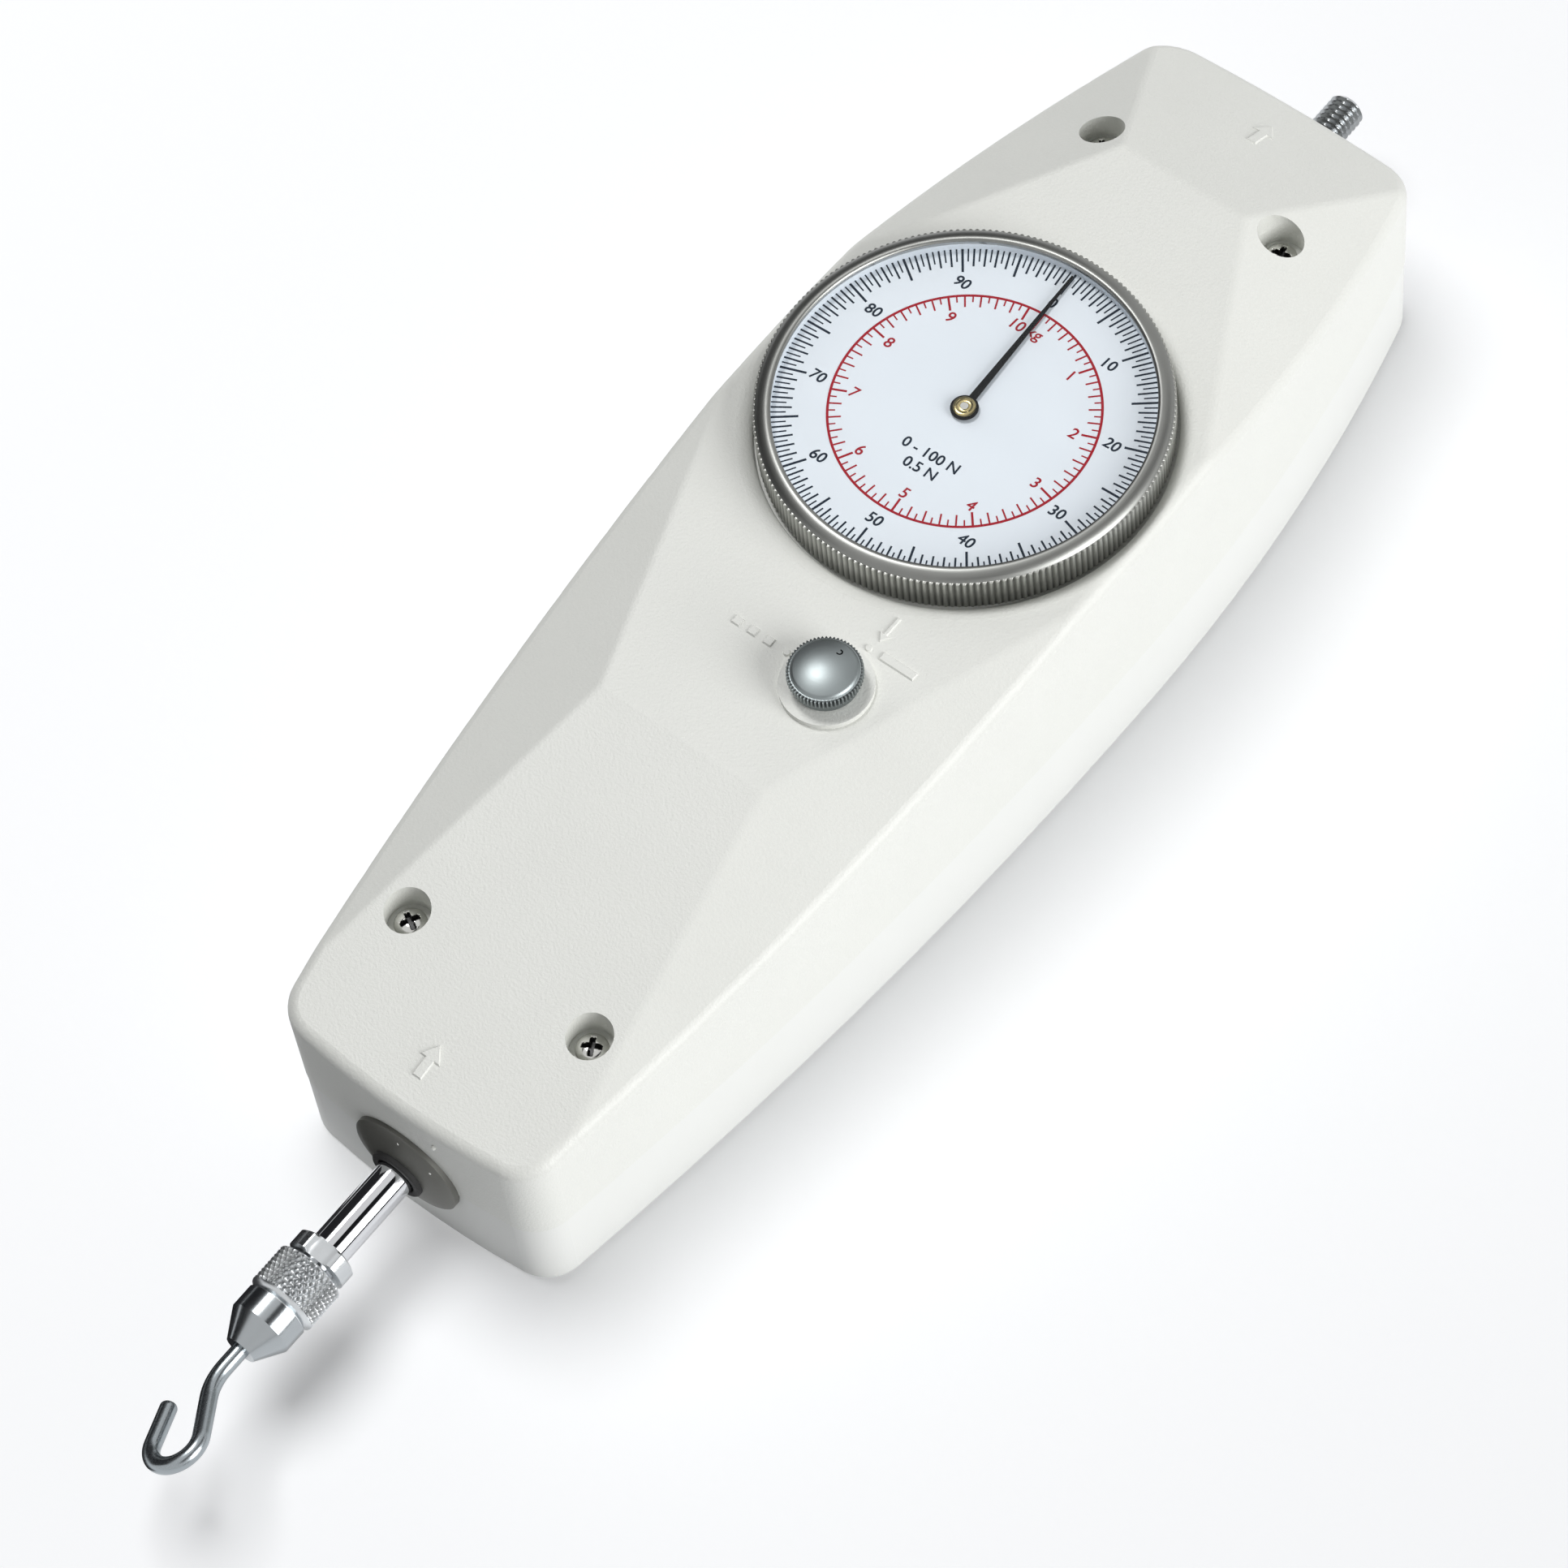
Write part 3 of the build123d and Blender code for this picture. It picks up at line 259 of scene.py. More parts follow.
# The adapter darkens into its knurl's grooves: painted shade.
NICKEL_KNURL = turned_metal("nickel_knurled", srgb(222, 225, 227), 0.3, (0.0, SHAFT_Z), grain=0.0,
                            axes=(0, 2), groove_shade=(4.98, 5.36, -134.0, -128.0), dark=0.3)
NICKEL_NOSE = shaded("nickel_bright", srgb(176, 181, 184), metal=1, rough=0.2, spread=0.02,
                     rough_spread=0.02, grain_mm=1)
CHROME = shaded("chrome_polished", srgb(222, 223, 226), metal=1, rough=0.05, spread=0.02,
                rough_spread=0.02, grain_mm=2, stretch=(1, 8, 1))
STUD_STEEL = shaded("stud_steel", srgb(172, 175, 177), metal=1, rough=0.24, spread=0.05, grain_mm=0.5)
HOOK_STEEL = shaded("wire_bright", srgb(166, 173, 177), metal=1, rough=0.26, grain=0.1,
                    grain_mm=0.15, stretch=(1, 6, 1))
GUNMETAL = shaded("gunmetal_satin", srgb(104, 104, 99), metal=0.35, rough=0.45, grain=0.4,
                  grain_mm=0.25, spread=0.16)
# Near black only for the faces deep in the screws' cross recesses: painted shade, not a finish of the
# screws.
RECESS_SHADE_BLACK = shaded("painted_recess_shade", srgb(42, 42, 42), metal=0.5, rough=0.38, grain=0.1, grain_mm=0.2)
SPRING_STEEL = shaded("spring_steel", srgb(110, 112, 116), metal=1, rough=0.3, grain=0.1, grain_mm=0.2)
BRASS = shaded("brass_lacquered", srgb(196, 168, 108), metal=1, rough=0.25, grain=0.1, grain_mm=0.3)
BRONZE = shaded("bronze_sintered", srgb(150, 112, 70), metal=1, rough=0.5, grain=0.3, grain_mm=0.15)
HUB_BRASS = turned_metal("brass_hub", srgb(176, 162, 118), 0.22, DIAL)
DIAL_WHITE = shaded("dial_white", srgb(241, 248, 255), rough=0.5, grain=0.05, grain_mm=0.3, spread=0.01)
INK_NAVY = shaded("ink_navy", srgb(24, 38, 54), rough=0.5, grain=0.05, grain_mm=0.2, ior=1.15)
INK_RED = shaded("ink_red", srgb(172, 18, 38), rough=0.5, grain=0.05, grain_mm=0.2, ior=1.15)
POINTER_BLACK = shaded("pointer_black", srgb(10, 11, 13), rough=0.45, grain=0.05, grain_mm=0.2, ior=1.15)
RUBBER = shaded("rubber_black", srgb(30, 30, 30), rough=0.7, grain=0.3, grain_mm=0.2)
GLASS = clear_glass("crystal_clear")

FINISH = {
    "front_housing": PAINT, "rear_cover": PAINT_REAR, "housing_screws": NICKEL,
    "mounting_inserts": BRASS, "push_flange": GUNMETAL, "pull_flange": GUNMETAL,
    "shaft_bushes": BRONZE, "movement_plate": BRASS, "bridge_plate": BRASS,
    "plate_pillars": BRASS, "plate_screws": NICKEL, "hairspring": SPRING_STEEL,
    "hairspring_stud": BRASS, "lever_pin": NICKEL, "spring_seat": NICKEL,
    "return_spring": SPRING_STEEL, "measuring_shaft": CHROME, "guide_pin": NICKEL,
    "spring_collar": NICKEL, "rack": BRASS, "rack_carrier": BEZEL_METAL,
    "rack_screws": NICKEL, "lock_ring": NICKEL, "adapter_body": NICKEL,
    "adapter_nose": NICKEL_NOSE, "hook": HOOK_STEEL, "gear_arbor": NICKEL,
    "rack_pinion": BRASS, "drive_gear": BRASS, "pointer_arbor": NICKEL,
    "centre_pinion": BRASS, "pointer": POINTER_BLACK, "pointer_hub": HUB_BRASS,
    "bezel_ring": BEZEL_METAL, "retaining_ring": BEZEL_METAL, "dial_plate": DIAL_WHITE,
    "dial_spacer": DIAL_WHITE, "crystal": GLASS, "selector_knob": KNOB_METAL,
    "knob_spindle": NICKEL, "spindle_clip": SPRING_STEEL, "peak_lever": NICKEL,
    "brake_shoe": RUBBER,
}
for node, finish in FINISH.items():
    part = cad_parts[node]
    for slot in part.material_slots:
        slot.material = finish


# Mesh helpers, all in mm -----------------------------------------------------

def piece(name, points, faces, finish, body, smooth=True, sharp=35):
    """Makes a mesh object from points in mm and lets it ride on a body.

    A smooth piece keeps its edges sharp above the angle given in degrees.
    """
    mesh = bpy.data.meshes.new(name)
    mesh.from_pydata([tuple(MM * c for c in point) for point in points], [], faces)
    mesh.materials.append(finish)
    mesh.validate()
    if smooth:
        mesh.shade_smooth()
        mesh.set_sharp_from_angle(angle=math.radians(sharp))
    thing = bpy.data.objects.new(name, mesh)
    bpy.context.scene.collection.objects.link(thing)
    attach(thing, body)
    return thing


def ring_faces(rows, columns, loop=False):
    """Quads of a grid whose columns close on themselves, and its rows too where it loops."""
    faces = []
    last = rows if loop else rows - 1
    for row in range(last):
        low, high = row * columns, (row + 1) % rows * columns
        for col in range(columns):
            nxt = (col + 1) % columns
            faces.append((low + col, low + nxt, high + nxt, high + col))
    return faces


def turned(name, profile, finish, body, place=(0, 0), columns=96, shape=None, loop=True,
           axis="z", sharp=35):
    """Piece turned round an axis from (radius, height) rows.

    shape(radius, height, angle) may change the radius, as for a knurl. An open
    profile has its two end rows closed by flat caps.
    """
    points = []
    for radius, height in profile:
        for col in range(columns):
            angle = math.tau * col / columns
            r = shape(radius, height, angle) if shape else radius
            across, up = r * math.cos(angle), r * math.sin(angle)
            if axis == "z":
                points.append((place[0] + across, place[1] + up, height))
            else:
                points.append((place[0] + across, height, place[1] - up))
    faces = ring_faces(len(profile), columns, loop=loop)
    if not loop:
        faces.append(tuple(reversed(range(columns))))
        top = (len(profile) - 1) * columns
        faces.append(tuple(range(top, top + columns)))
    return piece(name, points, faces, finish, body, sharp=sharp)


def wave(angle, count):
    """A rounded saw wave from 0 to 1, for knurls."""
    return 0.5 - 0.5 * math.cos(angle * count)


# Bezel and dial --------------------------------------------------------------

BEZEL_R = 30.8
BEZEL_BORE = 29.05
BEZEL_TOP = 50.6
BEZEL_BOTTOM = 43.2
BAND_TOP = 49.55
BEZEL_TEETH = 200
BEZEL_TOOTH = 0.34
TOOTH_COLUMNS = 8           # mesh columns to each tooth of a straight knurl


def bezel_shape(radius, height, angle):
    """Straight knurl on the outer band only."""
    if radius > BEZEL_R - 0.02 and height < BAND_TOP + 0.01:
        return radius - BEZEL_TOOTH * wave(angle, BEZEL_TEETH) ** 1.6
    return radius


band = turned(
    "bezel_knurled",
    [
        (BEZEL_BORE, BEZEL_BOTTOM), (BEZEL_R - 0.45, BEZEL_BOTTOM),
        (BEZEL_R - 0.3, BEZEL_BOTTOM + 0.15), (BEZEL_R, BEZEL_BOTTOM + 0.4),
        (BEZEL_R, BAND_TOP - 0.2), (BEZEL_R, BAND_TOP),
        (BEZEL_R - BEZEL_TOOTH, BAND_TOP + 0.12), (BEZEL_BORE, BAND_TOP + 0.12),
    ],
    BEZEL_KNURL, "bezel", place=DIAL[:2], columns=BEZEL_TEETH * TOOTH_COLUMNS, shape=bezel_shape,
    sharp=50,
)
# The rim takes the darker of the bezel's two aluminium tones: painted shade on the bezel's top.
rim = turned(
    "bezel_rim",
    [
        (BEZEL_BORE, BAND_TOP + 0.1), (BEZEL_R - 0.3, BAND_TOP + 0.1),
        (BEZEL_R - 0.38, BAND_TOP + 0.22), (BEZEL_R - 0.9, BAND_TOP + 0.62),
        (BEZEL_R - 1.5, BEZEL_TOP - 0.14), (BEZEL_R - 1.95, BEZEL_TOP),
        (BEZEL_R - 2.3, BEZEL_TOP), (BEZEL_R - 2.6, BEZEL_TOP - 0.12),
        (BEZEL_R - 2.7, BEZEL_TOP - 0.4), (BEZEL_BORE, BEZEL_TOP - 0.4),
    ],
    BEZEL_METAL, "bezel", place=DIAL[:2], columns=480, sharp=50,
)
for ring in (band, rim):
    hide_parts("bezel_ring")


def lip_ring():
    """Rounded lip where the housing's flat rolls down round the bezel."""
    columns, inner, foot, start = 240, 31.15, 42.95, 43.3
    across, up = 2.5, 1.52
    profile = [(inner, foot), (inner, start)]
    profile += [
        (inner + across * (1 - math.cos(t)), start + up * math.sin(t))
        for t in (math.radians(10 * n) for n in range(1, 10))
    ]
    profile += [(33.65, 44.7), (33.2, 43.0)]
    points = []
    for radius, height in profile:
        for col in range(columns):
            angle = math.tau * col / columns
            x, y = radius * math.cos(angle), radius * math.sin(angle)
            half = HALF_WIDTH - y * y / (WALL_BOW_PULL if y > 0 else WALL_BOW_PUSH)
            past = max(0.0, abs(x) - (half - TOP_EDGE_R))
            rim = TOP_Z - (TOP_EDGE_R - math.sqrt(max(0.0, TOP_EDGE_R**2 - past * past)))
            z = min(height, rim + 0.02) if height > 43.2 else height
            points.append((DIAL[0] + x, DIAL[1] + y, z))
    faces = ring_faces(len(profile), columns, loop=True)
    lip = piece("dish_lip", points, faces, PAINT, "housing", sharp=50)


lip_ring()


def marks(name, bars, finish, height=0.03):
    """Printed bars on the dial, each a thin flat block: (angle, inner, outer, width)."""
    points, faces = [], []
    for angle, inner, outer, width in bars:
        a = math.radians(angle - DIAL_TURN)
        out, side = Vector((math.sin(a), math.cos(a))), Vector((math.cos(a), -math.sin(a)))
        first = len(points)
        for z in (DIAL[2], DIAL[2] + height):
            for r, s in ((inner, -1), (inner, 1), (outer, 1), (outer, -1)):
                spot = out * r + side * (s * width / 2)
                points.append((DIAL[0] + spot.x, DIAL[1] + spot.y, z))
        faces += [tuple(first + i for i in quad) for quad in (
            (0, 1, 2, 3), (7, 6, 5, 4), (0, 4, 5, 1), (1, 5, 6, 2), (2, 6, 7, 3), (3, 7, 4, 0))]
    print_ = piece(name, points, faces, finish, "bezel", smooth=False)


def scale_bars(steps, degrees, outer, sizes):
    """Bars of a scale, with (inner radius, width) for each tenth, each second and each other step."""
    bars = []
    for step in steps:
        inner, width = sizes[0 if step % 10 == 0 else 1 if step % 2 == 0 else 2]
        bars.append((degrees * step, inner, outer, width))
    return bars


FORCE_STEP = 1.8            # degrees to half a newton
FORCE_TICK_END = 28.35
force_sizes = ((24.2, 0.36), (25.2, 0.29), (26.05, 0.22))
marks("dial_force_ticks", scale_bars(range(200), FORCE_STEP, FORCE_TICK_END, force_sizes), INK_NAVY)

MASS_STEP = 3.5304          # degrees to a tenth of a kilogram's weight
MASS_CIRCLE = 20.0
MASS_TICK_START = 17.57
mass_sizes = ((MASS_TICK_START, 0.34), (18.0, 0.26), (18.85, 0.22))
mass_bars = [(0, MASS_TICK_START, MASS_CIRCLE, 0.5)]
mass_bars += scale_bars(range(1, 101), MASS_STEP, MASS_CIRCLE, mass_sizes)
marks("dial_mass_ticks", mass_bars, INK_RED)
circle_in, circle_out, circle_top = MASS_CIRCLE - 0.19, MASS_CIRCLE + 0.19, DIAL[2] + 0.035
circle = turned(
    "dial_mass_circle",
    [(circle_in, DIAL[2]), (circle_out, DIAL[2]), (circle_out, circle_top), (circle_in, circle_top)],
    INK_RED, "bezel", place=DIAL[:2], columns=240,
)

PRINT_HALF = 0.018          # half the thickness of the numerals


def embolden(mesh, amount):
    """Moves each outline of the extruded letters outward, which keeps their small holes open."""
    work = bmesh.new()
    work.from_mesh(mesh)
    bmesh.ops.remove_doubles(work, verts=work.verts, dist=1e-8)
    work.normal_update()
    moves = []
    for vert in work.verts:
        out = sum((face.normal for face in vert.link_faces if abs(face.normal.z) < 0.5), Vector())
        moves.append(out.normalized() * amount)
    for vert, move in zip(work.verts, moves):
        vert.co += move
    work.to_mesh(mesh)
    work.free()


def lettering(name, words, finish, size, slant=0.12, bold=0.04):
    """Numerals and unit signs printed on the dial: (text, angle, radius) or (text, (x, y)).

    size is the letters' height in the typeface, and bold thickens their strokes, both in mm.
    """
    joined = []
    for text, *where in words:
        curve = bpy.data.curves.new(name, "FONT")
        curve.body = text
        curve.size = size * MM
        curve.shear = slant
        curve.align_x = "CENTER"
        curve.align_y = "CENTER"
        curve.extrude = PRINT_HALF * MM
        curve.resolution_u = 4
        if len(where) == 2:
            a = math.radians(where[0])
            spot = (where[1] * math.sin(a), where[1] * math.cos(a))
        else:
            spot = where[0]
        holder = bpy.data.objects.new(name, curve)
        bpy.context.scene.collection.objects.link(holder)
        bpy.context.view_layer.update()
        graph = bpy.context.evaluated_depsgraph_get()
        mesh = bpy.data.meshes.new_from_object(holder.evaluated_get(graph))
        bpy.data.objects.remove(holder)
        embolden(mesh, bold * MM)
        low = [min(v.co[i] for v in mesh.vertices) for i in (0, 1)]
        high = [max(v.co[i] for v in mesh.vertices) for i in (0, 1)]
        middle = Vector(((low[0] + high[0]) / 2, (low[1] + high[1]) / 2, 0))
        turn = Matrix.Rotation(math.radians(DIAL_TURN), 4, "Z")
        home = Matrix.Translation(Vector(DIAL) * MM + Vector((0, 0, PRINT_HALF * MM)))
        mesh.transform(home @ turn @ Matrix.Translation(Vector((*spot, 0)) * MM - middle))
        joined.append(mesh)
    points, faces = [], []
    for mesh in joined:
        first = len(points)
        points += [tuple(v.co / MM) for v in mesh.vertices]
        faces += [tuple(first + i for i in p.vertices) for p in mesh.polygons]
    print_ = piece(name, points, faces, finish, "bezel", smooth=False)


force_words = [(str(10 * n), 36 * n, 22.35) for n in range(10)]
lettering("dial_force_numerals", force_words, INK_NAVY, 2.55)
mass_words = [(str(n), 10 * MASS_STEP * n, 16.4) for n in range(1, 10)]
mass_words += [("10", -7.0, 16.5), ("kg", 3.4, 16.3)]
lettering("dial_mass_numerals", mass_words, INK_RED, 2.6, bold=0.03)
range_words = [("0 - 100 N", (0.4, -9.0)), ("0.5 N", (0.4, -11.7))]
lettering("dial_range_words", range_words, INK_NAVY, 2.5, slant=0)


# Pointer hub: a turned cap round the arbor's end -----------------------------

hub = turned(
    "pointer_cap",
    [(0.62, 48.75), (1.68, 48.75), (1.74, 48.82), (1.7, 48.98), (1.5, 49.1), (1.3, 49.12),
     (1.12, 48.98), (0.85, 48.94), (0.62, 48.98)],
    HUB_BRASS, "pointer_train", place=DIAL[:2], columns=72,
)
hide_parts("pointer_hub")


# Selector knob ---------------------------------------------------------------

KNOB_R = 5.6
KNOB_TEETH = 60
KNOB_BASE = 46.1
KNOB_BAND = 48.0
KNOB_SHOULDER = 49.6
KNOB_TOP = 51.0
KNOB_TOOTH = 0.36
DOME_RISE = 1.4
DOME_BALL = (KNOB_R**2 + DOME_RISE**2) / (2 * DOME_RISE)


def dome_z(reach):
    """Height of the knob's dome at a distance from the knob's axis."""
    return KNOB_TOP - DOME_BALL + math.sqrt(DOME_BALL**2 - reach**2)


def knob_shape(radius, height, angle):
    """Teeth round the rim band."""
    if radius > KNOB_R - 0.02:
        return radius - KNOB_TOOTH * wave(angle, KNOB_TEETH) ** 1.3
    return radius


dome = [(r, dome_z(r)) for r in (4.85, 4.5, 4.0, 3.5, 3.0, 2.5, 2.0, 1.5, 1.0, 0.5, 0.15)]
knob = turned(
    "knob_domed",
    [(0.1, KNOB_BASE), (4.7, KNOB_BASE), (4.9, KNOB_BASE + 0.2), (4.9, KNOB_BAND - 0.25),
     (5.05, KNOB_BAND), (5.4, KNOB_BAND + 0.05), (KNOB_R, KNOB_BAND + 0.2),
     (KNOB_R, KNOB_SHOULDER - 0.3), (5.585, KNOB_SHOULDER - 0.08), (5.2, KNOB_SHOULDER + 0.02),
     (5.0, KNOB_SHOULDER + 0.06)] + dome,
    KNOB_METAL, "knob", place=KNOB, columns=KNOB_TEETH * TOOTH_COLUMNS, shape=knob_shape, loop=False,
    sharp=45,
)
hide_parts("selector_knob")


def knob_mark():
    """A small open ring printed on the knob's dome, which points to the mode."""
    steps, radius, half = 14, 0.42, 0.11
    start, sweep = -120, 230
    sunk, raised_by = 0.05, 0.015
    centre = (KNOB[0] + 0.3, KNOB[1] + 3.1)
    points, faces = [], []
    for step in range(steps + 1):
        angle = math.radians(start + sweep * step / steps)
        for r in (radius - half, radius + half):
            x, y = centre[0] + r * math.cos(angle), centre[1] + r * math.sin(angle)
            top = dome_z(math.hypot(x - KNOB[0], y - KNOB[1]))
            points += [(x, y, top - sunk), (x, y, top + raised_by)]
    for step in range(steps):
        a, b = 4 * step, 4 * step + 4
        faces += [
            (a + 1, a + 3, b + 3, b + 1), (a, b, b + 2, a + 2),
            (a, a + 1, b + 1, b), (a + 2, b + 2, b + 3, a + 3),
        ]
    end = 4 * steps
    faces += [(0, 2, 3, 1), (end, end + 1, end + 3, end + 2)]
    return piece("knob_mark", points, faces, POINTER_BLACK, "knob", smooth=False)


knob_mark()


# Housing screws: pan heads with a cross recess -------------------------------

SCREW_HEAD_R = 2.5
SCREW_HEAD = 1.9            # height of the head, and of its straight edge
SCREW_EDGE = 0.75
SCREW_SHANK_R = 1.5
CROSS_DEPTH = 1.15
CROSS_REACH = 1.55          # half the length and half the width of an arm of the cross
CROSS_HALF = 0.42


def cross_recess(px, py, turn):
    """Depth of the cross recess at a point of the head, from the head's axis."""
    c, s = math.cos(turn), math.sin(turn)
    u, v = abs(px * c + py * s), abs(-px * s + py * c)
    deep = 0.0
    for along, aside in ((u, v), (v, u)):
        arm = min(1, max(0, (CROSS_REACH - along) / 0.45)) * min(1, max(0, (CROSS_HALF - aside) / 0.12))
        deep = max(deep, arm)
    return CROSS_DEPTH * deep


def screw(name, x, y, seat, turn):
    """Pan head screw: a domed head with a cross recess, whose faces are painted near black as shade, on a
    plain shank.
    """
    rings, columns = 20, 96
    points = []
    for ring in range(rings + 1):
        r = SCREW_HEAD_R * ring / rings
        edge = 1 - (r / SCREW_HEAD_R) ** 2.6
        for col in range(columns):
            a = math.tau * col / columns
            px, py = r * math.cos(a), r * math.sin(a)
            dome = seat + SCREW_EDGE + (SCREW_HEAD - SCREW_EDGE) * edge**0.6
            points.append((x + px, y + py, dome - cross_recess(px, py, turn)))
    shank = (
        (SCREW_HEAD_R, seat), (SCREW_SHANK_R, seat), (SCREW_SHANK_R, seat - 6), (0.1, seat - 6.8))
    for r, z in shank:
        for col in range(columns):
            a = math.tau * col / columns
            points.append((x + r * math.cos(a), y + r * math.sin(a), z))
    rows = rings + 1 + len(shank)
    faces = [tuple(reversed(face)) for face in ring_faces(rows, columns)]
    faces.append(tuple(range(columns)))
    tip = (rows - 1) * columns
    faces.append(tuple(reversed(range(tip, tip + columns))))
    head = piece(name, points, faces, NICKEL, "housing", sharp=50)
    # Faces deep in the cross recess take the near black: painted shade in the recess.
    head.data.materials.append(RECESS_SHADE_BLACK)
    for face in head.data.polygons:
        middle = face.center / MM
        if middle.z > seat + 0.1 and cross_recess(middle.x - x, middle.y - y, turn) > 0.3:
            face.material_index = 1
    return head


screws = [
    screw("screw_push_right", 16.8, -82.8, 32.7, 0.5),
    screw("screw_push_left", -16.8, -82.8, 32.7, 1.1),
    screw("screw_pull_right", 16.6, 79.6, 35.9, 0.2),
    screw("screw_pull_left", -16.6, 79.6, 35.9, 0.8),
]
for thing in screws:
    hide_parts("housing_screws")


# Shaft, adapter and hook -----------------------------------------------------

SHAFT_R = 3.0
SHAFT_CENTRE_R = 4.0
SHAFT_BORE = 0.2            # the turned meshes leave their axis free
STUD_ROOT_R = 2.6
STUD_PITCH = 1.0
THREAD_DEPTH = 0.55
THREAD = (110.6, 119.6)


def stud_shape(radius, height, angle):
    """Thread on the stud."""
    if THREAD[0] < height < THREAD[1] and radius > 2.9:
        phase = (height / STUD_PITCH - angle / math.tau) % 1
        return radius - THREAD_DEPTH * abs(2 * phase - 1)
    return radius


thread_rows = [(SHAFT_R, 110.7 + 0.1 * n) for n in range(88)]
shaft = turned(
    "shaft_polished",
    [(SHAFT_BORE, -133.0), (SHAFT_R, -133.0), (SHAFT_R, -105.0), (SHAFT_R, -99.45),
     (SHAFT_CENTRE_R, -99.4), (SHAFT_CENTRE_R, 87.9), (SHAFT_R, 88.0),
     (SHAFT_R, 109.6), (2.9, 109.7), (SHAFT_BORE, 109.7)],
    CHROME, "shaft", place=(0, SHAFT_Z), columns=96, loop=False, axis="y", sharp=40,
)
stud = turned(
    "shaft_stud",
    [(SHAFT_BORE, 109.65), (STUD_ROOT_R, 109.65), (STUD_ROOT_R, 110.45)] + thread_rows
    + [(STUD_ROOT_R, THREAD[1]), (2.2, 120.0), (SHAFT_BORE, 120.0)],
    STUD_STEEL, "shaft", place=(0, SHAFT_Z), columns=96, shape=stud_shape, loop=False, axis="y",
    sharp=40,
)
for thing in (shaft, stud):
    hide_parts("measuring_shaft")

KNURL = (-134.3, -127.8)
KNURL_MARGIN = 0.3
KNURL_R = 5.4
KNURL_TEETH = 32
KNURL_DEPTH = 0.4
KNURL_STRETCH = 1.3         # how much longer than wide the pyramids are


def knurl_shape(radius, height, angle):
    """Diamond knurl: pyramids between two crossed sets of grooves."""
    inside = KNURL[0] + KNURL_MARGIN < height < KNURL[1] - KNURL_MARGIN
    if radius < KNURL_R - 0.01 or not inside:
        return radius
    along = (height - KNURL[0]) / (math.tau * KNURL_R / KNURL_TEETH) / KNURL_STRETCH
    across = KNURL_TEETH * angle / math.tau
    rise = min(1 - abs(2 * ((across + way * along) % 1) - 1) for way in (1, -1))
    return radius - KNURL_DEPTH * (1 - min(1, 1.1 * rise))


knurl_rows = [(KNURL_R, KNURL[0] + KNURL_MARGIN + 0.06 * n) for n in range(99)]
adapter = turned(
    "adapter_knurled",
    [(3.05, -127.7), (3.05, -133.4), (0.3, -133.5), (0.3, -135.1), (1.2, -135.2), (4.5, -135.2),
     (4.55, -134.95), (4.9, -134.6), (KNURL_R - 0.12, -134.3)] + knurl_rows
    + [(KNURL_R - 0.1, -127.95), (4.9, -127.7)],
    NICKEL_KNURL, "shaft", place=(0, SHAFT_Z), columns=KNURL_TEETH * 12, shape=knurl_shape, axis="y",
    sharp=30,
)
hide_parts("adapter_body")


FLAT_TURN = math.radians(77)
FLAT_REACH = 4.1


def nut_shape(radius, height, angle):
    """Round, with two spanner flats."""
    spread = (angle + FLAT_TURN + math.pi / 2) % math.pi - math.pi / 2
    return min(radius, FLAT_REACH / max(0.5, math.cos(spread))) if radius > 3.5 else radius


nut = turned(
    "lock_nut",
    [(3.05, -124.0), (3.05, -127.1), (4.25, -127.1), (4.8, -126.75), (4.8, -124.35), (4.25, -124.0)],
    NICKEL_SATIN, "shaft", place=(0, SHAFT_Z), columns=144, shape=nut_shape, axis="y", sharp=25,
)
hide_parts("lock_ring")


# Disc round the shaft at the push end, with its wiper and spanner pins -------

push_disc = turned(
    "push_disc",
    [(3.3, -105.7), (3.3, -108.6), (4.6, -108.6), (6.8, -107.95), (8.9, -107.35), (9.2, -107.1),
     (9.2, -105.7)],
    GUNMETAL, "housing", place=(0, SHAFT_Z), columns=120, axis="y",
)
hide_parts("push_flange")
wiper = turned(
    "push_wiper",
    [(3.3, -108.6), (3.3, -109.3), (3.45, -109.4), (4.2, -109.4), (4.4, -109.2), (4.4, -108.6)],
    RUBBER, "housing", place=(0, SHAFT_Z), columns=96, axis="y",
)
PIN_CIRCLE_R = 7.75
for number, turn in enumerate((41.5, 88.0, 221.5, 268.0)):
    angle = math.radians(turn)
    pin = turned(
        f"push_pin_{number + 1}",
        [(0.05, -107.74), (0.16, -107.72), (0.28, -107.6), (0.28, -107.3), (0.05, -107.3)],
        NICKEL, "housing",
        place=(PIN_CIRCLE_R * math.cos(angle), SHAFT_Z + PIN_CIRCLE_R * math.sin(angle)),
        columns=20, axis="y", loop=False,
    )
bump = turned(
    "push_wall_bump",
    [(0.05, -106.85), (0.25, -106.8), (0.4, -106.6), (0.4, -105.9), (0.05, -105.9)],
    PAINT, "housing", place=(6.7, 28.6), columns=20, axis="y", loop=False,
)


# Return spring, drawn at one length, not shortened as the shaft is pushed in -----

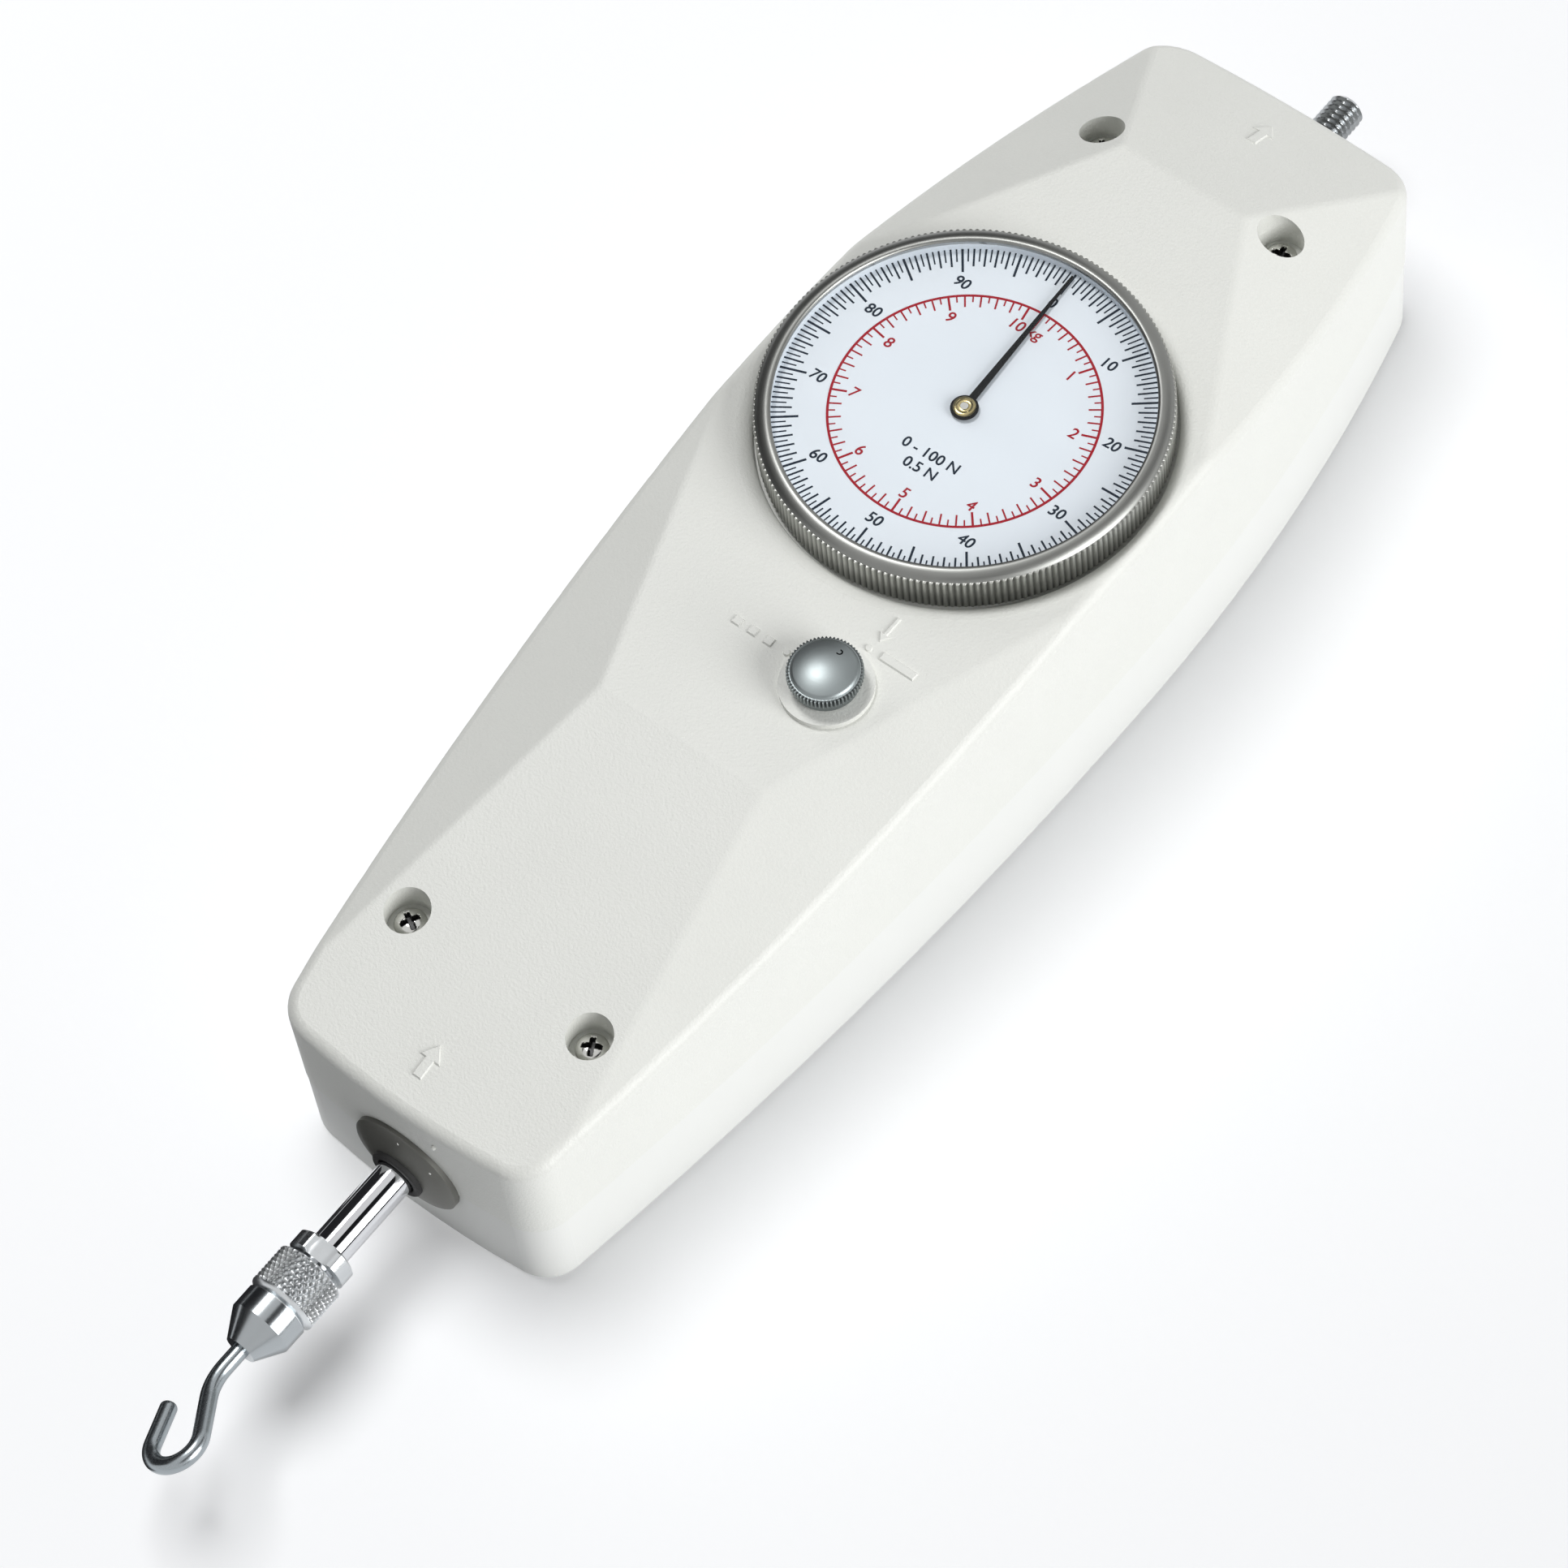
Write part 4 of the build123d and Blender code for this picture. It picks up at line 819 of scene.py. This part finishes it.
def return_coil():
    """Six turns of flat wire between the shaft's collar and the pull end's seat."""
    low, high = (tuple(c / MM for c in corner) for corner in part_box("return_spring"))
    radius, wide, long, turns, steps = 6.2, 1.6, 2.0, 6, 48
    start, end = low[1] + long / 2, high[1] - long / 2
    lean = math.atan2((end - start) / turns, math.tau * radius)
    points = []
    for step in range(turns * steps + 1):
        share = step / (turns * steps)
        angle = math.tau * turns * share
        for out, up in ((-1, -1), (1, -1), (1, 1), (-1, 1)):
            r = radius + out * wide / 2
            slip = -up * long / 2 * math.sin(lean)
            x = r * math.cos(angle) - slip * math.sin(angle)
            z = r * math.sin(angle) + slip * math.cos(angle)
            y = start + (end - start) * share + up * long / 2 * math.cos(lean)
            points.append((x, y, SHAFT_Z - z))
    faces = ring_faces(turns * steps + 1, 4)
    last = turns * steps * 4
    faces += [(3, 2, 1, 0), (last, last + 1, last + 2, last + 3)]
    coil = piece("return_coil", points, faces, SPRING_STEEL, "housing")
    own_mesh(coil)
    return coil


coil = return_coil()
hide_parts("return_spring")


# Raised marks moulded in the housing, in place of its words ------------------

def slope_z(y):
    """Height of the housing's plateau and end slopes."""
    if y < PUSH_SLOPE[0]:
        return TOP_Z - PUSH_SLOPE[1] * (PUSH_SLOPE[0] - y)
    if y > PULL_SLOPE[0]:
        return TOP_Z - PULL_SLOPE[1] * (y - PULL_SLOPE[0])
    return TOP_Z


def raised(name, outline, height=0.3, bevel=0.16):
    """Raised mark with bevelled sides, from a closed outline in the top's x and y."""
    sunk, foot = -0.15, 0.04
    count = len(outline)
    inner = []
    for index, (x, y) in enumerate(outline):
        before, after = Vector(outline[index - 1]), Vector(outline[(index + 1) % count])
        here = Vector((x, y))
        one, two = (here - before).normalized(), (after - here).normalized()
        left = Vector((-one.y - two.y, one.x + two.x)).normalized()
        reach = bevel / max(0.4, left.dot(Vector((-one.y, one.x))))
        inner.append((x + left.x * reach, y + left.y * reach))
    points = []
    for line, lift in ((outline, sunk), (outline, foot), (inner, height)):
        points += [(px, py, slope_z(py) + lift) for px, py in line]
    faces = [tuple(reversed(range(count)))]
    faces += ring_faces(3, count)
    faces.append(tuple(range(2 * count, 3 * count)))
    mark = piece(name, points, faces, PAINT, "housing", smooth=False)


def disc(x, y, radius, count=20):
    """Outline of a round dot."""
    turns = [math.tau * n / count for n in range(count)]
    return [(x + radius * math.cos(turn), y + radius * math.sin(turn)) for turn in turns]


def bar(x0, y0, x1, y1, width):
    """Outline of a straight bar from one point to another."""
    along = Vector((x1 - x0, y1 - y0)).normalized()
    side = Vector((-along.y, along.x)) * (width / 2)
    return [
        (x0 - side.x, y0 - side.y), (x1 - side.x, y1 - side.y),
        (x1 + side.x, y1 + side.y), (x0 + side.x, y0 + side.y),
    ]


def arrow(x0, y0, x1, y1, stem, head):
    """Outline of an arrow from its tail to its tip, against the clock."""
    way = 1 if y1 > y0 else -1
    neck, s, h = y1 - way * head, way * stem / 2, way * head * 0.72
    return [
        (x0 - s, y0), (x0 + s, y0), (x0 + s, neck), (x0 + h, neck), (x1, y1), (x0 - h, neck),
        (x0 - s, neck),
    ]


raised("mark_peak_dot", disc(12.4, -13.5, 0.6))
raised("mark_track_dot", disc(3.4, -21.0, 0.6))
raised("mark_peak_bar", bar(14.6, -13.4, 20.8, -13.4, 1.5))
for number, start_x in enumerate((-6.4, -3.5, -0.6)):
    raised(f"mark_track_bar_{number + 1}", bar(start_x, -21.0, start_x + 1.5, -21.0, 1.5))
raised("mark_pointer", arrow(12.95, -7.0, 12.95, -11.8, 0.7, 1.5))
raised("mark_push", arrow(0.0, -101.2, 0.0, -95.6, 1.6, 2.6))
raised("mark_pull", arrow(1.0, 93.2, 1.0, 98.8, 1.6, 2.6))


# Studio ----------------------------------------------------------------------

FLOOR_Z = -0.0002           # just under the back face, so that the two never share a plane
FLOOR_REACH = 30
FLOOR_LIFT = 0.26           # what takes the seen floor from pale to white
UNDERSIDE_LIGHT = 0.3
CONTACT = 0.001


def backdrop_material():
    """White floor that keeps the object's shadow.

    The back face lies on it and gets plain light from it, and seen from below it is clear.
    """
    nodes = new_material("studio_white")
    diffuse = nodes.add("ShaderNodeBsdfDiffuse", Color=(0.86, 0.87, 0.885, 1))
    lift = nodes.add("ShaderNodeEmission")
    seen = nodes.math("MULTIPLY", nodes.seen_rays(), FLOOR_LIFT)
    length = nodes.add("ShaderNodeLightPath").outputs["Ray Length"]
    near = nodes.math("LESS_THAN", length, CONTACT)
    nodes.join(nodes.math("MULTIPLY_ADD", near, UNDERSIDE_LIGHT, seen), lift.inputs["Strength"])
    both = nodes.add("ShaderNodeAddShader")
    nodes.join(diffuse.outputs[0], both.inputs[0])
    nodes.join(lift.outputs[0], both.inputs[1])
    one_sided = nodes.add("ShaderNodeMixShader")
    nodes.join(nodes.add("ShaderNodeNewGeometry").outputs["Backfacing"], one_sided.inputs[0])
    nodes.join(both.outputs[0], one_sided.inputs[1])
    nodes.join(nodes.add("ShaderNodeBsdfTransparent").outputs[0], one_sided.inputs[2])
    nodes.join(one_sided.outputs[0], nodes.output.inputs["Surface"])
    nodes.tree.nodes.remove(nodes.shader)
    return nodes.owner


def plane(name, corners, finish):
    """Flat card of the studio, from its four corners in metres."""
    mesh = bpy.data.meshes.new(name)
    mesh.from_pydata(corners, [], [(0, 1, 2, 3)])
    mesh.materials.append(finish)
    thing = bpy.data.objects.new(name, mesh)
    bpy.context.scene.collection.objects.link(thing)
    return thing


floor = plane(
    "studio_floor",
    [(x * FLOOR_REACH, y * FLOOR_REACH, FLOOR_Z) for x, y in ((-1, -1), (1, -1), (1, 1), (-1, 1))],
    backdrop_material(),
)


def flag_material():
    """Near black, matt."""
    nodes = new_material("studio_flag")
    nodes.shader.inputs["Base Color"].default_value = (0.01, 0.01, 0.012, 1)
    nodes.shader.inputs["Roughness"].default_value = 1.0
    return nodes.owner


FLAG = flag_material()


def flag(name, centre, across, up):
    """Dark card that only reflections see, for the dark bands in polished metal."""
    c, a, u = Vector(centre), Vector(across) / 2, Vector(up) / 2
    card = plane(name, [c - a - u, c + a - u, c + a + u, c - a + u], FLAG)
    card.visible_camera = False
    card.visible_diffuse = False
    card.visible_shadow = False
    card.visible_transmission = False


def flag_from_to(name, start, end, reach=1.2, length=3.2, shift=0.55):
    """Card along y between two angles from overhead, in degrees toward +x, as seen from the shaft."""
    turns = [math.radians(angle) for angle in (start, end)]
    (x0, z0), (x1, z1) = ((reach * math.sin(turn), reach * math.cos(turn)) for turn in turns)
    middle = ((x0 + x1) / 2, shift, (z0 + z1) / 2)
    flag(name, middle, (x1 - x0, 0, z1 - z0), (0, length, 0))


flag_from_to("flag_left_wall", -33, -88)
flag_from_to("flag_overhead_strip", 20, 42)
flag_from_to("flag_right_horizon", 81, 92)

flag("flag_near_floor", (-0.0225, -0.149, 0.001), (0.035, 0, 0), (0, 0.082, 0))
flag("flag_far_floor", (-0.28, -0.065, 0.001), (0.48, 0, 0), (0, 0.25, 0))

scene = bpy.context.scene
scene.world = bpy.data.worlds.new("studio_world")
sky = Nodes(scene.world)
lit_sky = sky.tree.nodes["Background"]
lit_sky.inputs["Color"].default_value = (0.97, 0.98, 1.0, 1)
lit_sky.inputs["Strength"].default_value = 0.16
seen_sky = sky.add("ShaderNodeBackground", Strength=1.0)
pick = sky.add("ShaderNodeMixShader")
for source, target in zip((sky.seen_rays(), lit_sky.outputs[0], seen_sky.outputs[0]), pick.inputs):
    sky.join(source, target)
sky.join(pick.outputs[0], sky.output.inputs["Surface"])


LAMP_AIM = (0, 0, 0.02)
LAMP_DISTANCE = 1.7


def lamp(name, direction, size, level, glossy=True):
    """Round lamp that adds the level, in white diffuse brightness, to a face turned to it."""
    data = bpy.data.lights.new(name, "AREA")
    data.shape = "DISK"
    data.size = size
    data.energy = level * math.pi**2 * LAMP_DISTANCE**2
    thing = bpy.data.objects.new(name, data)
    thing.location = Vector(direction).normalized() * LAMP_DISTANCE
    aim = Vector(LAMP_AIM) - thing.location
    thing.rotation_euler = aim.to_track_quat("-Z", "Y").to_euler()
    thing.visible_glossy = glossy
    scene.collection.objects.link(thing)
    return thing


key = lamp("key_right", (0.90, 0.05, 0.42), 1.2, 0.95)
fill = lamp("fill_left", (-0.85, 0.20, 0.45), 1.2, 0.23, glossy=False)
overhead = lamp("overhead_left", (-0.36, 0.10, 0.92), 0.45, 0.38)
floor_lamp = lamp("floor_left", (-0.26, 0.06, 0.96), 1.1, 0.74, glossy=False)

# Three lamps leave the floor alone and the floor's own lamp leaves the object alone,
# so that the one soft shadow falls away from the left
on_object = bpy.data.collections.new("lit_by_object_lamps")
on_object.objects.link(floor)
on_object.collection_objects[0].light_linking.link_state = "EXCLUDE"
for object_lamp in (key, fill, overhead):
    object_lamp.light_linking.receiver_collection = on_object
on_floor = bpy.data.collections.new("lit_by_floor_lamp")
on_floor.objects.link(floor)
floor_lamp.light_linking.receiver_collection = on_floor

camera_data = bpy.data.cameras.new("photo_camera")
camera_data.lens = 138.27
camera_data.sensor_width = 36
camera_data.clip_end = 100
camera = bpy.data.objects.new("photo_camera", camera_data)
CAMERA_PLACE = (0.32094, -0.33190, 0.78106)
CAMERA_RIGHT = (0.77852, 0.62335, -0.07312)
CAMERA_UP = (-0.51515, 0.70120, 0.49288)
CAMERA_BACK = (0.35851, -0.34605, 0.86702)
axes = (CAMERA_RIGHT, CAMERA_UP, CAMERA_BACK, CAMERA_PLACE)
camera.matrix_world = Matrix([[axis[row] for axis in axes] for row in range(3)] + [[0, 0, 0, 1]])
scene.collection.objects.link(camera)
scene.camera = camera
scene.view_settings.view_transform = "Standard"
